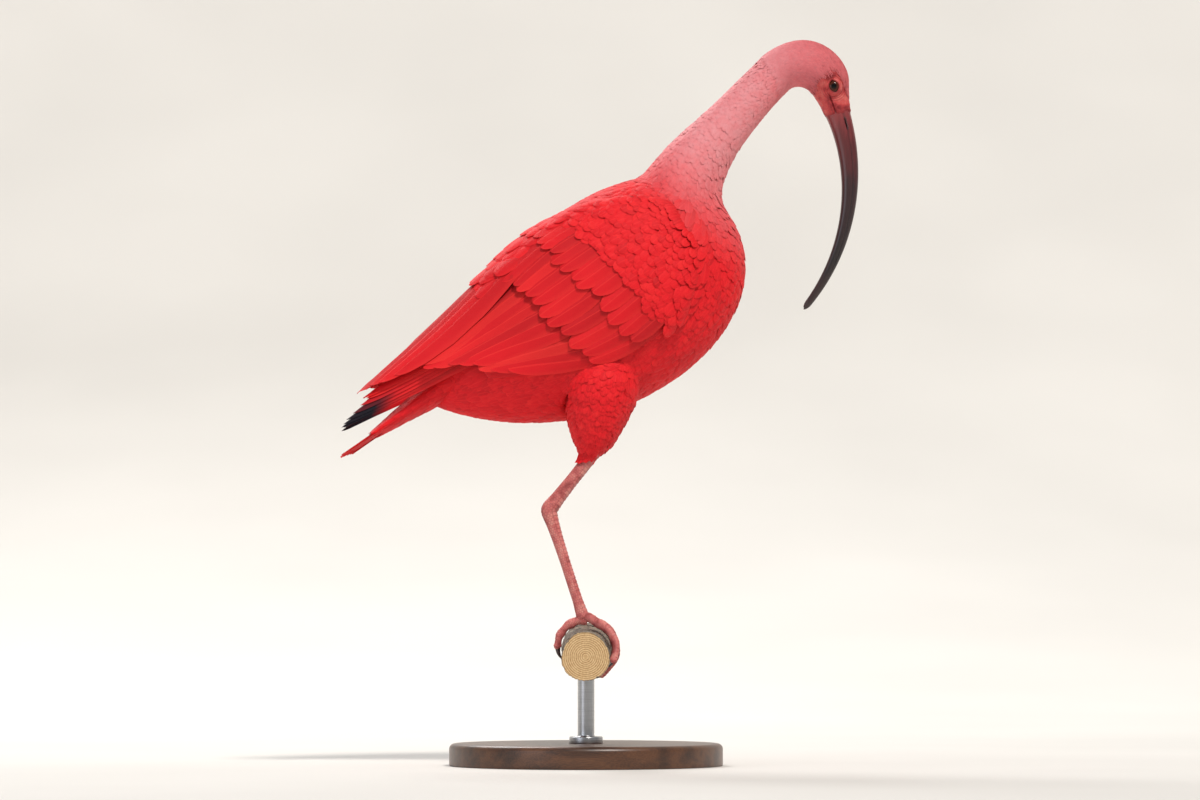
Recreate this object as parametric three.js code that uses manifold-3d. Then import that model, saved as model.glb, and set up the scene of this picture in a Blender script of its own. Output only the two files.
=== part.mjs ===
// Scarlet ibis (Eudocimus ruber), a life-size still model on a perch and a plain display stand.
//
// Millimetres, +Z up. The bird faces +X, its left side is +Y. The origin is the centre of the
// underside of the stand's base. The bird rests with its body tilted up, the neck reaching
// forward and the bill hanging down in front of the breast.

import * as THREE from 'three';
import { mergeVertices } from 'three/addons/utils/BufferGeometryUtils.js';
import Module from 'manifold-3d';

const wasm = await Module();
wasm.setup();

const DEG = Math.PI / 180;
const GAP = 0.3; // between pieces that meet face to face

// Stand and perch
const BASE_RADIUS = 98;
const BASE_HEIGHT = 16;
const BASE_ROUND = 4;
const ROD_RADIUS = 6;
const ROD_COLLAR_RADIUS = 12;
const ROD_COLLAR_HEIGHT = 5;
const ROD_SIDES = 24;
const BASE_SIDES = 36;
const BASE_ROUND_STEPS = 3;
const EDGE_BREAK = 1; // small bevels
const PERCH_RADIUS = 17;
const PERCH_LENGTH = 214;
const PERCH_X = 0;
const PERCH_Z = 82;
const PERCH_SIDES = 18;
const PERCH_STEPS = 12;
const PERCH_SWAY = 3;
const PERCH_BEND = 2.6; // radians of the sway along the perch
const PERCH_TAPER = 0.05;
const PERCH_KNOTS = { swell: 0.05, turns: 9, start: 0.6 };
const PERCH_FLUTES = { swell: 0.025, count: 3, twist: 7 };

// Body: an egg along a tilted axis, in its own frame: along, side, rise
const BODY_X = -8;
const BODY_Z = 325;
const BODY_TILT = 34 * DEG;
const BREAST_END = 131; // along the axis, ahead of the body's middle
const RUMP_END = -124;
const DEEPEST = 30;
const RISE_BACK = 64;
const DROP_BELLY = 79;
const HALF_WIDTH = 54;
const RUMP_LIFT = 9;
const BREAST_POWER = 2.2;
const RUMP_POWER = 2;
const RUMP_TAPER = 0.8;
const SECTION_SQUARE = 2.15; // superellipse power of the body's sections
const BODY_END_TURN = 88; // degrees round the body's length, where its end rings lie
const BODY_RINGS = 20;
const BODY_SIDES = 24;

// Wing: a folded shell over the body's side, feathered back to the tips of the primaries
const WING_FRONT = 104;
const WING_TIP = -190;
const WING_NOSE = 12 * DEG; // the wrist's place round the body, up from its side
const WING_TOP_FRONT = 56 * DEG;
const WING_TOP = 80 * DEG;
const WING_BOTTOM = -40 * DEG;
const WING_TIP_TOP = 44 * DEG;
const WING_TIP_BOTTOM = 8 * DEG;
const WING_TIP_HALF_WIDTH = 25;
const WING_TIP_HALF_HEIGHT = 17;
const WING_FLARE_START = -20;
const WING_NOSE_SHARE = 0.25; // of the wing's length, that its rounded front takes
const WING_NOSE_POWER = 2.3;
const WING_LOW_FROM = 0.25; // where the lower edge starts to rise to the tip
const WING_HIGH_FROM = 0.6; // where the upper edge starts to fall to the tip
const WING_TOP_SHARES = [0.12, 0.35]; // where the upper edge climbs on to the back
const WING_THICK = 5.5;
const WING_EDGE = 1.6;
const WING_INNER = 4;
const WING_CLEAR = 4.9; // of the thigh below the shell, so that the vanes clear it
const SHELL_END = 0.64; // share of the wing's length that the shell under the feathers takes
const SHELL_THINNING = 0.75; // share of the thickness that is lost by the shell's end
const SHELL_ROUND = 4; // power of the shell's arch across
const SHELL_HOLLOW = [0.3, 0.5]; // where its inner face rises to the carrier
const SHELL_FIRST_TURN = 8; // degrees: the rows lie closer together near the wrist
const SHELL_ROWS = 12;
const SHELL_COLS = 8;

// Feathers: where each tier starts and ends, in millimetres along the body's axis and in degrees
// round it, from its lowest feather to its highest. Stacked ones keep half a width in millimetres.
const VANE_THICK = 0.56;
const VANE_TILT = 0.8; // the lower edge lies this far out and the upper edge this far in
const VANE_SINK = 1.6;
const VANE_TIP_THICK = 0.6; // share of the thickness left at the tip
const WING_RAGGED = 5; // how far the tips of a tier stray
const VANE_OVERLAP = 0.66; // half a vane's width, as a share of the step to the next vane
const VANE_ROWS = [0, 0.36, 0.68, 0.89, 1];
const VANE_WIDTHS = [0.7, 0.96, 1, 0.76, 0.3];
const WING_TIERS = [
  { count: 6, from: [-40, 6], to: [-190, 27], fromTop: [-52, 36], toTop: [-146, 54],
    lifts: [-0.6, 0.6], half: 7, stack: -1.35 }, // primaries, stacked one inside the other
  { count: 7, from: [2, -29], to: [-66, -11], fromTop: [-22, 44], toTop: [-126, 40],
    lifts: [1.5, 2.6] }, // secondaries
  { count: 3, from: [14, 50], to: [-134, 36], fromTop: [-14, 74], toTop: [-158, 54],
    lifts: [3.6, 4] }, // tertials
  { count: 8, from: [34, -30], to: [-6, -27], fromTop: [20, 62], toTop: [-24, 56],
    lifts: [1.5, 4] }, // greater coverts
  { count: 8, from: [62, -23], to: [30, -27], fromTop: [46, 56], toTop: [12, 56],
    lifts: [1.5, 3.8] }, // median coverts
  { count: 4, from: [44, 60], to: [-16, 56], fromTop: [4, 78], toTop: [-62, 70],
    lifts: [3.8, 6.6] }, // scapulars
];

// Tail
const TAIL_ROOT = -98;
const TAIL_BLOCK_END = -132;
const TAIL_TIP = -198;
const TAIL_BLOCK_HALF_WIDTH = 15;
const TAIL_BLOCK_THICK = 13;
const TAIL_HALF_SPREAD = 19; // of the outermost feather's middle line at its tip
const TAIL_ROOT_SPREAD = 7;
const TAIL_SIDE_VANES = 5; // on each side of the middle one
const TAIL_VANE_HALF = 8;
const TAIL_SINK = 8; // how far inside the block a feather starts
const TAIL_ROUNDED = 8; // how much shorter the outermost feather is
const TAIL_RAGGED = 3;
const TAIL_LAYER = 0.8; // how far the outermost feather lies below the middle
const TAIL_MIDDLE_GAP = 0.4;
const TAIL_BLOCK_STEPS = 6;
const TAIL_BLOCK_SIDES = 14;
const TAIL_BLOCK_TAPER = 0.94;
const TAIL_DROOP = 1 * DEG;

// Neck and head, one tube whose heading turns from the shoulders over to the bill
const NECK_PIVOT_X = 151; // the throat, which the head bends round
const NECK_PIVOT_Z = 480;
const THROAT_RADIUS = 24;
const NECK_HEADING = 48 * DEG;
const HEAD_HEADING = -70 * DEG;
const NECK_LENGTH = 122;
const FACE_LENGTH = 21;
const NECK_BASE_CURVE = 20 * DEG;
const NECK_CURVE_FROM = 60; // how far down the neck its base starts to curve
const NECK_CURVE_STEPS = 24;
const NECK_SPLIT = -48; // where the lower neck meets the upper
const HEAD_START = 4; // where the upper neck meets the head
const NECK_LOWER_RINGS = 7;
const NECK_UPPER_RINGS = 5;
const HEAD_RINGS = 14;
const NECK_SIDES = 20;

// Bill
const BILL_LENGTH = 150;
const BILL_HEADING = HEAD_HEADING;
const BILL_TURN = -60 * DEG;
const BILL_BASE_DEPTH = 18;
const BILL_TIP_DEPTH = 4.6;
const BILL_BASE_WIDTH = 14;
const BILL_TIP_WIDTH = 4.4;
const BILL_MOUTH = 0.44; // share of the depth that the lower bill takes
const BILL_STEPS = 16;
const BILL_ARC_POINTS = 9;
const BILL_SLIMMING = 0.72; // power by which it slims towards the tip
const BILL_BLUNT = 0.6; // share of the section left at the tip
const BILL_LOWER_REACH = 0.985; // the upper bill overhangs the lower

// Eye
const EYE_RADIUS = 6.2;
const EYE_ALONG = 3; // ahead of the end of the head's bend
const EYE_RISE = 3.2;
const EYE_SIDE = 8.3;
const LID_THICK = 1.1;
const LID_HALF_LENGTH = 5;
const LID_HALF_HEIGHT = 4.2;
const LID_CUT = 12; // how far the opening is cut out to the side, from the eye's middle
const LID_CURVE = 4;

// Line of the mouth in the face, and the nostrils in the bill: place and half sizes along the
// head or bill, out to the side, and up
const MOUTH_PLACE = [14.5, 9.9, -2.2];
const MOUTH_SIZE = [8.6, 1.3, 0.75];
const MOUTH_INWARD = 18 * DEG;
const NOSTRIL_PLACE = [9, 5.5, 3.2];
const NOSTRIL_SIZE = [4.6, 1.4, 0.9];
const NOSTRIL_INWARD = 3 * DEG;
const BALL_AROUND = 14;
const BALL_ALONG = 10;
const SLOT_AROUND = 8;
const SLOT_ALONG = 6;

// Legs
const THIGH_TOP = [16, 27, 296];
const THIGH_END = [4, 23, 222];
const ANKLE = [-27, 24, 183];
const THIGH_TOP_RADIUS = 25;
const THIGH_END_RADIUS = 8;
const THIGH_SWELL = [0.55, 0.85, 1, 0.98, 0.84, 0.62, 0.34, 0]; // from the top down
const THIGH_MIDDLE = 0.55;
const THIGH_BOW = -2;
const THIGH_SIDES = 16;
const TIBIA_RADIUS = 4.2;
const TIBIA_SWELL = [1, 0.98, 0.96, 1, 1.12];
const TARSUS_RADIUS = 3.5;
const TARSUS_SWELL = [1.35, 1.5, 1.12, 0.98, 0.95, 0.95, 1, 1.15];
const TARSUS_LOW = 0.3; // share of its length where the ankle's swelling has gone
const ANKLE_RADIUS = 5.4;
const LEG_SIDES = 10;
const HUB_RADIUS = 5; // the joint that the toes spring from

// Toes: length and spread to the side
const TOE_RADIUS = 3.3;
const TOE_REACH = PERCH_RADIUS * 1.05 + TOE_RADIUS; // of a toe's middle line from the perch's axis
const TOE_ROOT = [PERCH_X - 2, 25, PERCH_Z + TOE_REACH + 2.8];
const FRONT_TOES = [
  { name: 'inner', length: 47, spread: -22 * DEG },
  { name: 'middle', length: 58, spread: 2 * DEG },
  { name: 'outer', length: 50, spread: 26 * DEG },
];
const HIND_TOE = { length: 30, spread: 0, drop: 2 };
const CLAW_LENGTH = 9;
const CLAW_ROOT = 0.5; // radius as a share of the toe's, at the claw's root and at its tip
const CLAW_TIP = 0.14;
const TOE_TAPER = 0.3;
const TOE_FULL = 0.96;
const TOE_PAD = 0.06; // swell of the pads under the joints, three of them along a toe
const TOE_PADS = 3;
const TOE_SETTLE = 12; // length over which a toe comes down from the hub to the bark
const TOE_SIDES = 7;
const TOE_STEPS = 7;
const CLAW_STEPS = 2;
const TOE_CLEAR = 0.75; // off the bark, which the flats of the toe's skin dip towards

const COLOURS = {
  scarlet: 0xe3121c,
  wing: 0xea1a22,
  tail: 0xd4101a,
  neck: 0xf0605f,
  face: 0xd46a62,
  bill: 0x3a1a1c,
  eye: 0x120a08,
  leg: 0xc6645c,
  bark: 0x6f6355,
  rod: 0x8f9296,
  base: 0x4a3222,
};

function material(colour, roughness, metalness = 0) {
  return new THREE.MeshStandardMaterial({ color: colour, roughness, metalness });
}

// Geometry helpers

function signedVolume(positions, index) {
  let sum = 0;
  const [a, b, c] = [new THREE.Vector3(), new THREE.Vector3(), new THREE.Vector3()];
  for (let i = 0; i < index.length; i += 3) {
    a.fromArray(positions, 3 * index[i]);
    b.fromArray(positions, 3 * index[i + 1]);
    c.fromArray(positions, 3 * index[i + 2]);
    sum += a.dot(b.cross(c)) / 6;
  }
  return sum;
}

// A closed mesh from points and triangles, turned so that its faces point out
function closedGeometry(points, triangles) {
  const positions = new Float32Array(points.flatMap((p) => [p.x, p.y, p.z]));
  const index = triangles.flat();
  if (signedVolume(positions, index) < 0) {
    index.reverse();
  }
  const geometry = new THREE.BufferGeometry();
  geometry.setAttribute('position', new THREE.BufferAttribute(positions, 3));
  geometry.setIndex(index);
  return geometry;
}

// A skin over rings of points, each ring with as many points, closed by a fan at both ends
function loft(rings) {
  const sides = rings[0].length;
  const points = rings.flat();
  const triangles = [];
  for (let r = 0; r + 1 < rings.length; r += 1) {
    for (let s = 0; s < sides; s += 1) {
      const a = r * sides + s;
      const b = r * sides + ((s + 1) % sides);
      triangles.push([a, b, b + sides], [a, b + sides, a + sides]);
    }
  }
  for (const r of [0, rings.length - 1]) {
    const middle = rings[r].reduce((sum, p) => sum.add(p), new THREE.Vector3());
    points.push(middle.divideScalar(sides));
    const centre = points.length - 1;
    for (let s = 0; s < sides; s += 1) {
      const a = r * sides + s;
      const b = r * sides + ((s + 1) % sides);
      triangles.push(r === 0 ? [b, a, centre] : [a, b, centre]);
    }
  }
  return closedGeometry(points, triangles);
}

// A thin plate between two grids of points, its two faces split into triangles alike
function plate(upper, lower) {
  const rows = upper.length;
  const cols = upper[0].length;
  const points = [...upper.flat(), ...lower.flat()];
  const below = rows * cols;
  const at = (r, c) => r * cols + c;
  const triangles = [];
  for (let r = 0; r + 1 < rows; r += 1) {
    for (let c = 0; c + 1 < cols; c += 1) {
      const corners = [at(r, c), at(r, c + 1), at(r + 1, c + 1), at(r + 1, c)];
      triangles.push([corners[0], corners[1], corners[2]], [corners[0], corners[2], corners[3]]);
      const under = corners.map((n) => n + below);
      triangles.push([under[0], under[2], under[1]], [under[0], under[3], under[2]]);
    }
  }
  const border = [];
  for (let c = 0; c + 1 < cols; c += 1) border.push(at(0, c));
  for (let r = 0; r + 1 < rows; r += 1) border.push(at(r, cols - 1));
  for (let c = cols - 1; c > 0; c -= 1) border.push(at(rows - 1, c));
  for (let r = rows - 1; r > 0; r -= 1) border.push(at(r, 0));
  border.forEach((a, n) => {
    const b = border[(n + 1) % border.length];
    triangles.push([b, a, a + below], [b, a + below, b + below]);
  });
  return closedGeometry(points, triangles);
}

function toSolid(geometry) {
  const bare = geometry.clone();
  bare.deleteAttribute('normal');
  bare.deleteAttribute('uv');
  const merged = mergeVertices(bare, 1e-4);
  return new wasm.Manifold(new wasm.Mesh({
    numProp: 3,
    vertProperties: Float32Array.from(merged.attributes.position.array),
    triVerts: Uint32Array.from(merged.index.array),
  }));
}

// The largest closed surface of a solid, as a geometry
function toGeometry(solid) {
  const pieces = solid.decompose();
  pieces.sort((a, b) => b.volume() - a.volume());
  const mesh = pieces[0].getMesh();
  const geometry = new THREE.BufferGeometry();
  geometry.setAttribute('position', new THREE.BufferAttribute(new Float32Array(mesh.vertProperties), 3));
  geometry.setIndex([...mesh.triVerts]);
  return geometry;
}

function signedPower(value, power) {
  return Math.sign(value) * Math.abs(value) ** power;
}

function mix(a, b, t) {
  return a.map((value, n) => THREE.MathUtils.lerp(value, b[n], t));
}

function smoothStep(from, to, value) {
  const t = THREE.MathUtils.clamp((value - from) / (to - from), 0, 1);
  return t * t * (3 - 2 * t);
}

// Share of the full size at a place along a form that is fullest at `widest`
function fullness(at, front, widest, back, frontPower, backPower, backTaper) {
  if (at > widest) {
    const t = Math.min((at - widest) / (front - widest), 1);
    return (1 - t ** frontPower) ** (1 / frontPower);
  }
  const t = Math.min((widest - at) / (widest - back), 1);
  return (1 - t ** backPower) ** backTaper;
}

// Body frame: along the axis, out to the side, and rise from the axis
function bodyPoint(along, side, rise) {
  return new THREE.Vector3(
    BODY_X + along * Math.cos(BODY_TILT) - rise * Math.sin(BODY_TILT),
    side,
    BODY_Z + along * Math.sin(BODY_TILT) + rise * Math.cos(BODY_TILT),
  );
}

function rumpLift(along) {
  const t = Math.max(0, (DEEPEST - along) / (DEEPEST - RUMP_END));
  return RUMP_LIFT * t * t;
}

function bodySizes(along) {
  const full = fullness(
    along, BREAST_END, DEEPEST, RUMP_END, BREAST_POWER, RUMP_POWER, RUMP_TAPER,
  );
  return { side: HALF_WIDTH * full, up: RISE_BACK * full, down: DROP_BELLY * full, lift: rumpLift(along) };
}

// A point of a body-like section, at an angle measured up from the side
function sectionPoint(along, angle, sizes, out = 0) {
  const power = 2 / SECTION_SQUARE;
  const rise = angle > 0 ? sizes.up : sizes.down;
  const side = (sizes.side + out) * signedPower(Math.cos(angle), power);
  const height = (rise + out) * signedPower(Math.sin(angle), power);
  return bodyPoint(along, side, sizes.lift + height);
}

// The torso; grown by a gap it cuts what lies against it
function torsoSolid(grow = 0) {
  const rings = [];
  for (let r = 0; r <= BODY_RINGS; r += 1) {
    const turn = THREE.MathUtils.lerp(-BODY_END_TURN, BODY_END_TURN, r / BODY_RINGS) * DEG;
    const reach = turn > 0 ? BREAST_END - DEEPEST : DEEPEST - RUMP_END;
    const along = DEEPEST + reach * Math.sin(turn);
    const sizes = bodySizes(along);
    const shifted = along + grow * Math.sin(turn);
    const ring = [];
    for (let s = 0; s < BODY_SIDES; s += 1) {
      ring.push(sectionPoint(shifted, (s / BODY_SIDES) * 2 * Math.PI - Math.PI, sizes, grow));
    }
    rings.push(ring);
  }
  return toSolid(loft(rings));
}

// The surface that the folded wing lies on: the body's side, held wider behind
function wingCarrier(along) {
  const body = bodySizes(along);
  const t = (WING_FLARE_START - along) / (WING_FLARE_START - WING_TIP);
  const flare = bodySizes(WING_FLARE_START);
  const side = THREE.MathUtils.lerp(flare.side, WING_TIP_HALF_WIDTH, t);
  const height = THREE.MathUtils.lerp(flare.up, WING_TIP_HALF_HEIGHT, t);
  return {
    side: t > 0 ? Math.max(side, body.side) : body.side,
    up: t > 0 ? Math.max(height, body.up) : body.up,
    down: t > 0 ? Math.max(height, body.down) : body.down,
    lift: rumpLift(Math.max(along, RUMP_END)),
  };
}

// Lowest and highest place of the wing round the body, at a share of its length
function wingEdges(share) {
  const nose = Math.min(share / WING_NOSE_SHARE, 1);
  const round = (1 - (1 - nose) ** WING_NOSE_POWER) ** (1 / WING_NOSE_POWER);
  const back = smoothStep(WING_HIGH_FROM, 1, share);
  const climb = smoothStep(...WING_TOP_SHARES, share);
  const top = THREE.MathUtils.lerp(WING_TOP_FRONT, WING_TOP, climb);
  const low = THREE.MathUtils.lerp(WING_BOTTOM, WING_TIP_BOTTOM, smoothStep(WING_LOW_FROM, 1, share));
  return {
    high: THREE.MathUtils.lerp(WING_NOSE, THREE.MathUtils.lerp(top, WING_TIP_TOP, back), round),
    low: THREE.MathUtils.lerp(WING_NOSE, low, round),
  };
}

// How far the shell's outer face stands off the carrier
function shellOut(along, angle) {
  const share = (WING_FRONT - along) / (WING_FRONT - WING_TIP);
  const { low, high } = wingEdges(THREE.MathUtils.clamp(share, 0.02, 1));
  const across = THREE.MathUtils.clamp((2 * (angle - low)) / (high - low) - 1, -1, 1);
  const thinned = 1 - SHELL_THINNING * Math.min(share / SHELL_END, 1);
  return WING_EDGE + WING_THICK * Math.sqrt(1 - across ** SHELL_ROUND) * thinned;
}

function wingShell(grow = 0) {
  const upper = [];
  const lower = [];
  for (let r = 0; r <= SHELL_ROWS; r += 1) {
    const turn = THREE.MathUtils.lerp(SHELL_FIRST_TURN, 90, r / SHELL_ROWS) * DEG;
    const share = SHELL_END * (1 - Math.cos(turn));
    const along = THREE.MathUtils.lerp(WING_FRONT, WING_TIP, share);
    const { low, high } = wingEdges(share);
    const sizes = wingCarrier(along);
    const margin = (2 * grow) / (sizes.side + sizes.up);
    const inner = -WING_INNER * (1 - smoothStep(...SHELL_HOLLOW, share)) - grow;
    const outRow = [];
    const inRow = [];
    for (let c = 0; c <= SHELL_COLS; c += 1) {
      const angle = THREE.MathUtils.lerp(low - margin, high + margin, c / SHELL_COLS);
      outRow.push(sectionPoint(along, angle, sizes, shellOut(along, angle) + grow));
      inRow.push(sectionPoint(along, angle, sizes, inner));
    }
    upper.push(outRow);
    lower.push(inRow);
  }
  return toSolid(plate(upper, lower));
}

// Numbers from 0 to 1 that are the same on each run
function seeded(seed) {
  let state = seed;
  return () => {
    state = (Math.imul(state, 1664525) + 1013904223) >>> 0;
    return state / 4294967296;
  };
}

// A feather's vane over the carrier: its root sinks into the shell and its lower edge lies
// over the next feather down. Its width follows the step between the feathers of its tier.
function wingVane(tier, place, random) {
  const share = place / (tier.count - 1);
  const from = mix(tier.from, tier.fromTop, share);
  const to = mix(tier.to, tier.toTop, share);
  const step = [tier.fromTop[1] - tier.from[1], tier.toTop[1] - tier.to[1]]
    .map((turn) => turn / (tier.count - 1));
  const reach = to[0] + WING_RAGGED * (random() - 0.5);
  const upper = [];
  const lower = [];
  VANE_ROWS.forEach((t, n) => {
    const along = THREE.MathUtils.lerp(from[0], reach, t);
    const turn = THREE.MathUtils.lerp(from[1], to[1], t);
    const rise = (t - VANE_ROWS[1]) / (1 - VANE_ROWS[1]);
    const level = THREE.MathUtils.lerp(tier.lifts[0], tier.lifts[1], rise);
    const lift = n === 0 ? -VANE_SINK : level + (tier.stack ?? 0) * (tier.count - 1 - place);
    const thick = n === VANE_ROWS.length - 1 ? VANE_TIP_THICK * VANE_THICK : VANE_THICK;
    const sizes = wingCarrier(along);
    const width = tier.half
      ? tier.half / DEG / (0.5 * (sizes.side + sizes.up) + lift)
      : VANE_OVERLAP * THREE.MathUtils.lerp(step[0], step[1], t);
    const half = width * VANE_WIDTHS[n];
    const upRow = [];
    const downRow = [];
    for (const c of [-1, 1]) {
      const angle = (turn + c * half) * DEG;
      const out = shellOut(along, turn * DEG) + lift - VANE_TILT * c;
      upRow.push(sectionPoint(along, angle, sizes, out + thick / 2));
      downRow.push(sectionPoint(along, angle, sizes, out - thick / 2));
    }
    upper.push(upRow);
    lower.push(downRow);
  });
  return toSolid(plate(upper, lower));
}

function wingSolid(side) {
  const random = seeded(side > 0 ? 11 : 29);
  const pieces = [wingShell()];
  for (const tier of WING_TIERS) {
    for (let place = 0; place < tier.count; place += 1) {
      pieces.push(wingVane(tier, place, random));
    }
  }
  const wing = wasm.Manifold.union(pieces).subtract(torsoSolid(GAP));
  return side > 0 ? wing : wing.mirror([0, 1, 0]);
}

function tailPoint(along, side, rise) {
  const drop = (TAIL_ROOT - along) * Math.tan(TAIL_DROOP);
  return bodyPoint(along, side, RUMP_LIFT + rise - drop);
}

// The fleshy root that the tail feathers grow from
function tailBlock() {
  const rings = [];
  for (let n = 0; n <= TAIL_BLOCK_STEPS; n += 1) {
    const t = n / TAIL_BLOCK_STEPS;
    const swell = Math.sqrt(1 - TAIL_BLOCK_TAPER * t * t);
    const ring = [];
    for (let s = 0; s < TAIL_BLOCK_SIDES; s += 1) {
      const angle = (s / TAIL_BLOCK_SIDES) * 2 * Math.PI;
      ring.push(tailPoint(
        THREE.MathUtils.lerp(TAIL_ROOT, TAIL_BLOCK_END, t),
        TAIL_BLOCK_HALF_WIDTH * swell * Math.cos(angle),
        0.5 * TAIL_BLOCK_THICK * swell * Math.sin(angle),
      ));
    }
    rings.push(ring);
  }
  return toSolid(loft(rings));
}

// A tail feather: the middle one lies on top, and each next one starts under the one before
function tailVane(place, random) {
  const spread = place / TAIL_SIDE_VANES;
  const tip = TAIL_TIP + TAIL_ROUNDED * spread ** 2 + TAIL_RAGGED * random();
  const side = Math.sign(place);
  const upper = [];
  const lower = [];
  VANE_ROWS.forEach((t, n) => {
    const along = THREE.MathUtils.lerp(TAIL_ROOT - TAIL_SINK, tip, t);
    const middle = THREE.MathUtils.lerp(TAIL_ROOT_SPREAD, TAIL_HALF_SPREAD, t) * spread;
    const half = TAIL_VANE_HALF * VANE_WIDTHS[n];
    const upRow = [];
    const downRow = [];
    for (const c of [-1, 1]) {
      let out = middle + c * half;
      if (side !== 0 && side * out < TAIL_MIDDLE_GAP) out = side * TAIL_MIDDLE_GAP;
      const rise = side === 0 ? 2 * VANE_TILT : VANE_TILT * c * side - TAIL_LAYER * Math.abs(spread);
      upRow.push(tailPoint(along, out, rise + VANE_THICK / 2));
      downRow.push(tailPoint(along, out, rise - VANE_THICK / 2));
    }
    upper.push(upRow);
    lower.push(downRow);
  });
  return toSolid(plate(upper, lower));
}

function tailSolid() {
  const random = seeded(5);
  const pieces = [tailBlock()];
  for (let place = -TAIL_SIDE_VANES; place <= TAIL_SIDE_VANES; place += 1) {
    pieces.push(tailVane(place, random));
  }
  return wasm.Manifold.union(pieces).subtract(torsoSolid(GAP));
}

// Neck and head. A place on their middle line: arc length from the start of the head's bend.
function neckFrame(length) {
  const bend = THROAT_RADIUS * (NECK_HEADING - HEAD_HEADING);
  const at = (heading) => new THREE.Vector3(
    NECK_PIVOT_X - THROAT_RADIUS * Math.sin(heading),
    0,
    NECK_PIVOT_Z + THROAT_RADIUS * Math.cos(heading),
  );
  let heading = NECK_HEADING;
  let point;
  if (length < 0) {
    point = at(NECK_HEADING);
    const headingAt = (back) => NECK_HEADING
      + NECK_BASE_CURVE * smoothStep(NECK_CURVE_FROM, NECK_LENGTH, back);
    const step = -length / NECK_CURVE_STEPS;
    for (let n = 0; n < NECK_CURVE_STEPS; n += 1) {
      heading = headingAt(step * (n + 0.5));
      point.x -= Math.cos(heading) * step;
      point.z -= Math.sin(heading) * step;
    }
    heading = headingAt(-length);
  } else if (length < bend) {
    heading = NECK_HEADING - length / THROAT_RADIUS;
    point = at(heading);
  } else {
    heading = HEAD_HEADING;
    point = at(heading);
    point.x += Math.cos(heading) * (length - bend);
    point.z += Math.sin(heading) * (length - bend);
  }
  const forward = new THREE.Vector3(Math.cos(heading), 0, Math.sin(heading));
  const up = new THREE.Vector3(-Math.sin(heading), 0, Math.cos(heading));
  return { point, forward, up, heading };
}

const HEAD_BEND = THROAT_RADIUS * (NECK_HEADING - HEAD_HEADING);
const HEAD_END = HEAD_BEND + FACE_LENGTH;

// Half sizes of the neck and head at stations along the middle line
const NECK_STATIONS = [
  { at: -NECK_LENGTH, side: 36, up: 30, down: 36 },
  { at: -88, side: 25, up: 22, down: 26 },
  { at: -55, side: 17.5, up: 17, down: 18.5 },
  { at: -18, side: 14.2, up: 14.6, down: 16 },
  { at: 8, side: 13.8, up: 13.8, down: 16.5 },
  { at: 28, side: 16.6, up: 17.6, down: 16 },
  { at: HEAD_BEND - 4, side: 16, up: 17, down: 14 },
  { at: HEAD_BEND + 10, side: 11.4, up: 12.8, down: 11.2 },
  { at: HEAD_END, side: 7.6, up: 9.6, down: 9 },
];

function stationValue(stations, at, key) {
  const last = stations.length - 1;
  let n = 0;
  while (n < last - 1 && at > stations[n + 1].at) n += 1;
  const [p0, p1, p2, p3] = [Math.max(n - 1, 0), n, n + 1, Math.min(n + 2, last)].map((k) => stations[k]);
  const span = p2.at - p1.at;
  const t = THREE.MathUtils.clamp((at - p1.at) / span, 0, 1);
  const slopeIn = p0 === p1 ? (p2[key] - p1[key]) / span : (p2[key] - p0[key]) / (p2.at - p0.at);
  const slopeOut = p3 === p2 ? (p2[key] - p1[key]) / span : (p3[key] - p1[key]) / (p3.at - p1.at);
  const [t2, t3] = [t * t, t * t * t];
  return (2 * t3 - 3 * t2 + 1) * p1[key] + (t3 - 2 * t2 + t) * span * slopeIn
    + (3 * t2 - 2 * t3) * p2[key] + (t3 - t2) * span * slopeOut;
}

function neckRing(length) {
  const frame = neckFrame(length);
  const side = stationValue(NECK_STATIONS, length, 'side');
  const up = stationValue(NECK_STATIONS, length, 'up');
  const down = stationValue(NECK_STATIONS, length, 'down');
  const ring = [];
  for (let s = 0; s < NECK_SIDES; s += 1) {
    const angle = (s / NECK_SIDES) * 2 * Math.PI;
    const height = Math.sin(angle) > 0 ? up : down;
    ring.push(frame.point.clone()
      .addScaledVector(frame.up, height * Math.sin(angle))
      .add(new THREE.Vector3(0, side * Math.cos(angle), 0)));
  }
  return ring;
}

function neckPiece(from, to, steps) {
  const rings = [];
  for (let n = 0; n <= steps; n += 1) {
    rings.push(neckRing(THREE.MathUtils.lerp(from, to, n / steps)));
  }
  return toSolid(loft(rings));
}

function headPoint(ahead, side, rise) {
  const frame = neckFrame(HEAD_BEND + ahead);
  return frame.point.clone()
    .addScaledVector(frame.up, rise)
    .add(new THREE.Vector3(0, side, 0));
}

// A closed ball about a point
function ball(centre, radius) {
  const geometry = new THREE.SphereGeometry(radius, BALL_AROUND, BALL_ALONG);
  geometry.translate(centre.x, centre.y, centre.z);
  return toSolid(geometry);
}

// An upright slot through the lids, shaped as a lens, along Y
function lidOpening(centre, side) {
  const outline = new THREE.Shape();
  outline.moveTo(-LID_HALF_LENGTH, 0);
  outline.quadraticCurveTo(0, 2 * LID_HALF_HEIGHT, LID_HALF_LENGTH, 0);
  outline.quadraticCurveTo(0, -2 * LID_HALF_HEIGHT, -LID_HALF_LENGTH, 0);
  const geometry = new THREE.ExtrudeGeometry(outline, {
    depth: LID_CUT, bevelEnabled: false, curveSegments: LID_CURVE,
  });
  geometry.rotateX(90 * DEG);
  geometry.rotateY(-HEAD_HEADING);
  geometry.translate(centre.x, centre.y + (side > 0 ? LID_CUT : 0), centre.z);
  return toSolid(geometry);
}

function eyeCentre(side) {
  return headPoint(EYE_ALONG, side * EYE_SIDE, EYE_RISE);
}

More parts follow.
